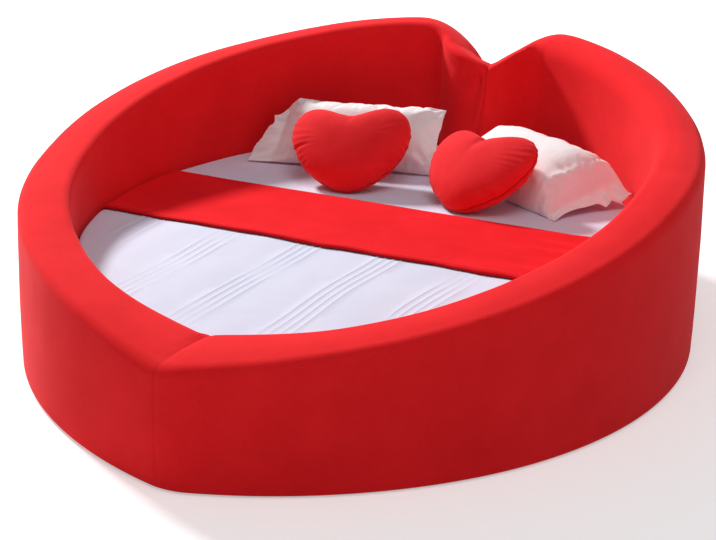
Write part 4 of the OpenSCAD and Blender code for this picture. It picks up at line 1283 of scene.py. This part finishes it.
def keepOff(points, other):
    # a soft piece gives way where it leans on another
    tree = BVHTree.FromPolygons(
        [Vector(p) for p in readPoints(other.data)], [tuple(f.vertices) for f in other.data.polygons],
    )
    moved = points.copy()
    for i, p in enumerate(points):
        place, normal, index, distance = tree.find_nearest(Vector(p), 0.06)
        if place is not None and (Vector(p) - place).dot(normal) < clothGap:
            moved[i] = place + normal * clothGap
    return moved


# Pillows: a soft filling in a case that is sewn at one end and ends in a limp hem at the other
pillow = {
    "width": 0.656,
    "depth": {"left": 0.276, "right": 0.350},
    "crown": {"left": 0.140, "right": 0.160},
    "hem": 0.058,  # length of the empty end
    "hemThickness": 0.005,
    "drawIn": 0.045,  # share by which the sides curve in between the corners
    "underShare": 0.30,  # depth of the underside, as a share of the height of the top
    "columns": 100,
    "rows": 50,
    "lumps": 0.004,
    "filling": {"pressure": 2.2, "bending": 0.3, "spareCloth": 0.06, "frames": 26, "cap": 0.013},
    "slack": 0.95,  # starts a little flatter than the case
    "pleatPitch": 0.075,
    "finePleat": 0.0030,
    "edgePucker": 0.0022,
    "cornerCrease": 0.0042,
}
# hemEnd is 1 for a hem at the pillow's right end; lean is 1 on the axes where the pillow touches the high
# side of its node's box; reach is how far the hem moves out at its near and its far corner, droop how far its
# far corner slides down the pillow's slope, and fall how far it drops
pillowPlaces = {
    "left": {
        "pose": (0, 46, 12), "seed": 11, "hemEnd": -1, "lean": (0, 1, 1), "droop": 0.075, "pleat": 0.005,
        "pleatsFrom": -1.5, "ridge": 0.0, "reach": (0.056, -0.012), "fall": 0.0,
    },
    "right": {
        "pose": (0, 20, -27), "seed": 23, "hemEnd": 1, "lean": (0, 0, 0), "droop": 0.030, "pleat": 0.009,
        "pleatsFrom": -0.3, "ridge": 0.010, "reach": (-0.042, 0.012), "fall": 0.058,
    },
}


def crownAt(s):
    return np.maximum(0, 1 - np.minimum(1, np.abs(s)) ** 3) ** 0.6


def pillowShape(s, v, way, side, slack=1.0):
    # s and v run from -1 to 1 over the case; way is 1 on top and -1 underneath
    w, l = pillow["width"], pillow["depth"][side]
    towards = s * pillowPlaces[side]["hemEnd"]
    filled = np.where(towards > 0, towards / (1 - 2 * pillow["hem"] / w), towards)
    inHem = ramp(towards, 0.7, 0.9) * np.sqrt(np.maximum(1 - v ** 2, 0)) * pillow["hemThickness"] / 2
    bulge = crownAt(filled) * crownAt(v) * slack
    top = bulge * pillow["crown"][side] / (1 + pillow["underShare"]) + inHem
    return np.stack([
        s * w / 2 * (1 - pillow["drawIn"] * (1 - v * v)),
        v * l / 2 * (1 - pillow["drawIn"] * (1 - s * s)),
        np.where(way > 0, top, -np.maximum(top * pillow["underShare"], inHem)),
    ], -1)


def crumpleHem(points, side):
    # the empty end of the case droops and folds in long soft pleats, and the seams pucker a little
    place = pillowPlaces[side]
    end, seed = place["hemEnd"], place["seed"]
    towards = points[:, 0] * end / (pillow["width"] / 2)
    up = points[:, 1] / (pillow["depth"][side] / 2)
    loose = ramp(towards, 0.66, 0.98)
    onTop = points[:, 2] > 0
    flat = points * [1, 1, 0]
    moved = points.copy()
    moved[:, 1] -= place["droop"] * ramp(up, -0.2, 1.0) * loose
    near, far = place["reach"]
    moved[:, 0] += end * loose * (near + (far - near) * ramp(up, -1, 1))
    moved[:, 2] -= place["fall"] * loose * ramp(up, -0.8, 0.6)
    pleat = math.tau * moved[:, 1] / pillow["pleatPitch"] + 2.2 * cloud(flat, 0.08, seed) + 2 * towards
    fine = cloud(flat * [0.35, 1, 0], 0.016, seed + 1)
    pleated = loose * ramp(up - place["pleatsFrom"], 0, 0.5) * (1 - ramp(np.abs(up), 0.8, 1.0))
    moved[:, 2] += pleated * (place["pleat"] * np.sin(pleat) + pillow["finePleat"] * fine)
    # the filled corner stands up to a soft ridge before the end falls away
    ridge = bell(towards - 0.66 - 0.10 * up, 0.05) * (1 - ramp(up, 0.2, 0.9)) * ramp(up, -1.0, -0.8)
    moved[:, 2] += place["ridge"] * ridge * onTop
    edge = np.maximum(np.abs(up), -towards)
    moved[:, 2] += ramp(edge, 0.8, 0.99) * pillow["edgePucker"] * cloud(flat, 0.05, seed + 3)
    # long soft creases from the corners into the filling
    for cornerX, cornerY in ((-1, -1), (-1, 1), (1, -1), (1, 1)):
        dx = points[:, 0] - cornerX * pillow["width"] / 2
        dy = points[:, 1] - cornerY * pillow["depth"][side] / 2
        away, angle = np.hypot(dx, dy), np.arctan2(np.abs(dy), np.abs(dx))
        crease = np.sin(11 * angle + cornerX + 2 * cornerY + seed)
        moved[:, 2] += pillow["cornerCrease"] * crease * bell(away - 0.085, 0.06) * onTop
    return moved


def makePillow(side):
    place = pillowPlaces[side]
    nx, ny = pillow["columns"], pillow["rows"]
    s, v = (g.ravel() for g in np.meshgrid(np.linspace(-1, 1, nx), np.linspace(-1, 1, ny), indexing="ij"))
    top, under = (pillowShape(s, v, way, side, pillow["slack"]) for way in (1, -1))
    top[:, 2] += pillow["lumps"] * cloud(top, 0.09, place["seed"]) * ramp(top[:, 2], 0.01, 0.05)
    faces = [f[::-1] for f in gridFaces(nx, ny)] + gridFaces(nx, ny, start=nx * ny)
    # the open end is closed by a strip between its two layers
    last = (nx - 1) * ny if place["hemEnd"] > 0 else 0
    lip = [(last + j, last + j + 1, nx * ny + last + j + 1, nx * ny + last + j) for j in range(ny - 1)]
    faces += [f[::-place["hemEnd"]] for f in lip]
    body = meshObject("pillow_" + side, np.vstack([top, under]), faces)
    joinDoubles(body, 0.0003)
    points = readPoints(body.data)
    towards = points[:, 0] * place["hemEnd"] / (pillow["width"] / 2)
    inHem = towards > 1 - 3.4 * pillow["hem"] / pillow["width"]
    stuff(body, pillow["filling"], np.nonzero((np.abs(points[:, 2]) < 1e-4) | inHem)[0])
    smooth = body.modifiers.new("smooth", "SUBSURF")
    smooth.levels = smooth.render_levels = 1
    applyModifiers(body)
    points = crumpleHem(readPoints(body.data), side)
    # the left pillow leans back against the wall, so that its back and top lie on the node's own
    s, v = (g.ravel() for g in np.meshgrid(np.linspace(-1, 1, 13), np.linspace(-1, 1, 9)))
    shape = np.vstack([pillowShape(s, v, way, side) for way in (1, -1)])
    toLow, toHigh = seatOn("pillowcase_" + side, shape, place["pose"])
    move = np.where(np.array(place["lean"]) > 0, toHigh, (toLow + toHigh) / 2)
    move[2] = min(move[2], toLow[2] + 0.004)
    points = turnedBy(points, place["pose"]) + move
    writePoints(body.data, keepInsideWall(keepAbove(points)))
    body.data.materials.append(pillowCotton)
    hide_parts("pillowcase_" + side, "pillow_filling_" + side)
    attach(body, side + "_pillow")
    return body


pillows = [makePillow(side) for side in ("left", "right")]
print("pillows made")


# Heart cushions
cushion = {
    "width": 0.435,
    "length": 0.345,
    "crown": 0.150,
    "pointShare": 0.22,  # how sharply the sides run in to the point
    "bluntFrom": -0.45,
    "bluntness": 0.84,
    "waveShares": (1, -0.215, -0.077, -0.023),  # amounts of the cosines that shape it along its length
    "middle": 0.08,  # where the crown is highest, as a share of half the length
    "crownPower": 2.4,
    "roundPower": 0.6,
    "around": 110,
    "rings": 26,
    "voxel": 0.0055,
    "filling": {"pressure": 4.0, "bending": 0.6, "spareCloth": 0.02, "frames": 20, "cap": 0.009},
    "pucker": 0.0016,
    "puckerPitch": 0.026,
    "sideFold": 0.0026,
    "sideFoldPitch": 0.034,
    "seamRadius": 0.19,  # turns an angle round the cushion into a length along its seam
    "pinchDepth": 0.008,
    "groove": 0.0028,
    "creaseDepth": 0.012,
    "lumps": 0.0016,
}
# pinch is the angle round the cushion, in radians from the valley, where the seam is caught
cushionPlaces = {
    "left": {
        "pose": (6, 46, 10), "crease": 0.12, "seed": 31, "shift": (-0.004, 0.029, 0), "pinch": -1.62,
    },
    "right": {
        "pose": (10.5, 40, -27), "crease": 1.0, "seed": 47, "shift": (-0.003, -0.019, 0), "pinch": -2.3,
    },
}


def heartWave(a):
    return sum(c * np.cos((k + 1) * a) for k, c in enumerate(cushion["waveShares"]))


def cushionOutline(a):
    # the sewn outline, a closed curve with its valley at the angle zero
    sample = heartWave(np.radians(np.arange(0, 181, 5)))
    x = cushion["pointShare"] * np.sin(a) ** 3 + (1 - cushion["pointShare"]) * np.sin(a)
    y = 2 * (heartWave(a) - sample.min()) / (sample.max() - sample.min()) - 1
    low = cushion["bluntFrom"]
    return x, np.where(y < low, low + (y - low) * cushion["bluntness"], y)


def cushionShape(around, rings):
    # a shell of rings from the seam to the middle of each side, and a point on both middles
    x, y = cushionOutline(math.tau * (np.arange(around) + 0.5) / around)
    shares = np.cos(np.linspace(0, math.pi / 2, rings + 1))[:-1]
    middle = cushion["middle"]
    layers = []
    for way, kept in ((1, shares), (-1, shares[1:])):
        for share in kept:
            z = cushion["crown"] / 2 * (1 - share ** cushion["crownPower"]) ** cushion["roundPower"]
            layers.append(np.column_stack([
                cushion["width"] / 2 * x * share, cushion["length"] / 2 * (middle + (y - middle) * share),
                np.full(around, way * z),
            ]))
    poles = [[0, cushion["length"] / 2 * middle, way * cushion["crown"] / 2] for way in (1, -1)]
    points = np.vstack(layers + [poles])
    front = [k * around for k in range(rings)]
    back = [0] + [(rings + k) * around for k in range(rings - 1)]
    faces = []
    for starts, pole, way in ((front, len(points) - 2, 1), (back, len(points) - 1, -1)):
        for a, b in zip(starts, starts[1:]):
            for i in range(around):
                j = (i + 1) % around
                faces.append((a + i, b + i, b + j, a + j)[::way])
        for i in range(around):
            faces.append((starts[-1] + i, pole, starts[-1] + (i + 1) % around)[::way])
    return points, faces


def creaseCushion(points, place):
    # how far each point of the stuffed cushion moves outwards, and how near it is to the seam
    seed = place["seed"]
    a = np.arctan2(points[:, 0] / cushion["width"], points[:, 1] / cushion["length"] - 0.04)
    run = a * cushion["seamRadius"]
    outwards = np.abs(points[:, 0]) / cushion["width"]
    rim = ramp(np.hypot(outwards, points[:, 1] / cushion["length"]), 0.22, 0.4)
    pucker = np.sin(math.tau * run / cushion["puckerPitch"] + 2.8 * cloud(points, 0.05, seed))
    uneven = ramp(cloud(points, 0.10, seed + 2), -0.3, 0.5)
    move = cushion["pucker"] * pucker * bell(points[:, 2], 0.030) * rim * uneven
    # a few deeper folds run in from both ends of the seam
    fold = np.sin(math.tau * run / cushion["sideFoldPitch"] + 1.5 * cloud(points, 0.09, seed + 3))
    atSides = bell(np.abs(a) - 1.35, 0.30) * ramp(outwards, 0.20, 0.46)
    move += cushion["sideFold"] * fold * atSides * (0.3 + 0.7 * uneven)
    # one deep pinch where the cloth is caught in the seam
    move -= cushion["pinchDepth"] * bell(a - place["pinch"], 0.045) * ramp(outwards, 0.30, 0.48)
    seamLine = bell(points[:, 2], 0.0032) * rim
    move -= cushion["groove"] * seamLine
    # the cloth sinks between the lobes
    valley = bell(points[:, 0] + 0.10 * (0.15 - points[:, 1]), 0.016) * ramp(points[:, 1], 0.02, 0.15)
    move -= cushion["creaseDepth"] * place["crease"] * valley
    return move + cushion["lumps"] * cloud(points, 0.08, seed + 5), seamLine


def makeCushion(side):
    place = cushionPlaces[side]
    body = meshObject("cushion_" + side, *cushionShape(cushion["around"], cushion["rings"]))
    remesh = body.modifiers.new("even", "REMESH")
    remesh.mode = "VOXEL"
    remesh.voxel_size = cushion["voxel"]
    applyModifiers(body)
    stuff(body, cushion["filling"])
    smooth = body.modifiers.new("smooth", "SUBSURF")
    smooth.levels = smooth.render_levels = 1
    applyModifiers(body)
    points, normals = readPoints(body.data), readNormals(body.data)
    move, seamLine = creaseCushion(points, place)
    points += normals * move[:, None]
    node = "heart_cushion_" + side
    toLow, toHigh = seatOn(node, cushionShape(26, 5)[0], place["pose"])
    seat = (toLow + toHigh) / 2 + place["shift"]
    seat[2] = toLow[2]
    points = keepAbove(turnedBy(points, place["pose"]) + seat)
    for other in pillows:
        points = keepOff(points, other)
    writePoints(body.data, keepAbove(points))
    addAttribute(body.data, "seam", 0.7 * seamLine)
    body.data.materials.append(cushionVelour)
    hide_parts(node, "heart_filling_" + side)
    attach(body, side + "_heart_cushion")


for bedSide in ("left", "right"):
    makeCushion(bedSide)
print("heart cushions made")


# Studio: a pale floor, a pale world, a key lamp high on the left of the head and a broad soft lamp above
studio = {
    "worldColour": "#FBFBFF",
    "worldStrength": 0.24,
    "aim": (0, 0, 0.35),
    "floorColour": "#EFEFEF",
    "floorGlow": 0.42,
    "floorReach": 40,
}
lamps = {
    # direction from the bed, distance, size across, and the light that a surface turned to it gets
    "key lamp": {"towards": (-0.84, 0.40, 0.74), "distance": 12.0, "size": 1.9, "level": 3.3},
    "top lamp": {"towards": (0.25, -0.30, 1.0), "distance": 9.0, "size": 5.0, "level": 0.58},
}


def makeLamp(name, lamp):
    away = Vector(lamp["towards"]).normalized()
    light = bpy.data.lights.new(name, "AREA")
    light.shape = "DISK"
    light.size = lamp["size"]
    light.energy = lamp["level"] * math.pi * lamp["distance"] ** 2
    obj = bpy.data.objects.new(name, light)
    obj.location = Vector(studio["aim"]) + away * lamp["distance"]
    obj.rotation_euler = (-away).to_track_quat("-Z", "Y").to_euler()
    scene.collection.objects.link(obj)


def seenByCamera(tree):
    # 1 where the camera sees a surface straight, in a reflection or through something
    path = addNode(tree, "ShaderNodeLightPath").outputs
    seen = path["Is Camera Ray"]
    for kind in ("Is Glossy Ray", "Is Transmission Ray"):
        seen = addNode(tree, "ShaderNodeMath", operation="MAXIMUM", links={0: seen, 1: path[kind]}).outputs[0]
    return seen


def makeFloor():
    r = studio["floorReach"]
    floor = meshObject("floor", [(-r, -r, 0), (r, -r, 0), (r, r, 0), (-r, r, 0)], [(0, 1, 2, 3)])
    material, tree, place = newMaterial("white painted floor")
    grain = addNode(
        tree, "ShaderNodeTexNoise", links={"Vector": place}, values={"Scale": 40.0, "Detail": 3.0},
    ).outputs["Fac"]
    roughness = addNode(
        tree, "ShaderNodeMapRange", links={"Value": grain},
        values={"From Min": 0.3, "From Max": 0.7, "To Min": 0.7, "To Max": 0.8},
    ).outputs["Result"]
    paint = addNode(
        tree, "ShaderNodeBsdfPrincipled", links={"Roughness": roughness},
        values={"Base Color": srgb(studio["floorColour"]), "Specular IOR Level": 0.2},
    )
    # what the camera sees is lifted towards white, and the shadow stays in it
    glow = addNode(
        tree, "ShaderNodeEmission", values={"Color": (1, 1, 1, 1), "Strength": studio["floorGlow"]},
    )
    nothing = addNode(tree, "ShaderNodeEmission", values={"Strength": 0.0})
    lift = addNode(
        tree, "ShaderNodeMixShader", links={0: seenByCamera(tree), 1: nothing.outputs[0], 2: glow.outputs[0]},
    )
    both = addNode(tree, "ShaderNodeAddShader", links={0: paint.outputs[0], 1: lift.outputs[0]})
    addNode(tree, "ShaderNodeOutputMaterial", links={"Surface": both.outputs[0]})
    floor.data.materials.append(material)


def makeWorld():
    world = bpy.data.worlds.new("studio")
    scene.world = world
    world.use_nodes = True
    tree = world.node_tree
    tree.nodes.clear()
    light = addNode(
        tree, "ShaderNodeBackground",
        values={"Color": srgb(studio["worldColour"]), "Strength": studio["worldStrength"]},
    )
    white = addNode(tree, "ShaderNodeBackground", values={"Color": (1, 1, 1, 1), "Strength": 1.0})
    choice = addNode(
        tree, "ShaderNodeMixShader", links={0: seenByCamera(tree), 1: light.outputs[0], 2: white.outputs[0]},
    )
    addNode(tree, "ShaderNodeOutputWorld", links={"Surface": choice.outputs[0]})


makeFloor()
makeWorld()
for lampName, lampValues in lamps.items():
    makeLamp(lampName, lampValues)
scene.view_settings.view_transform = "Standard"
print("studio made")
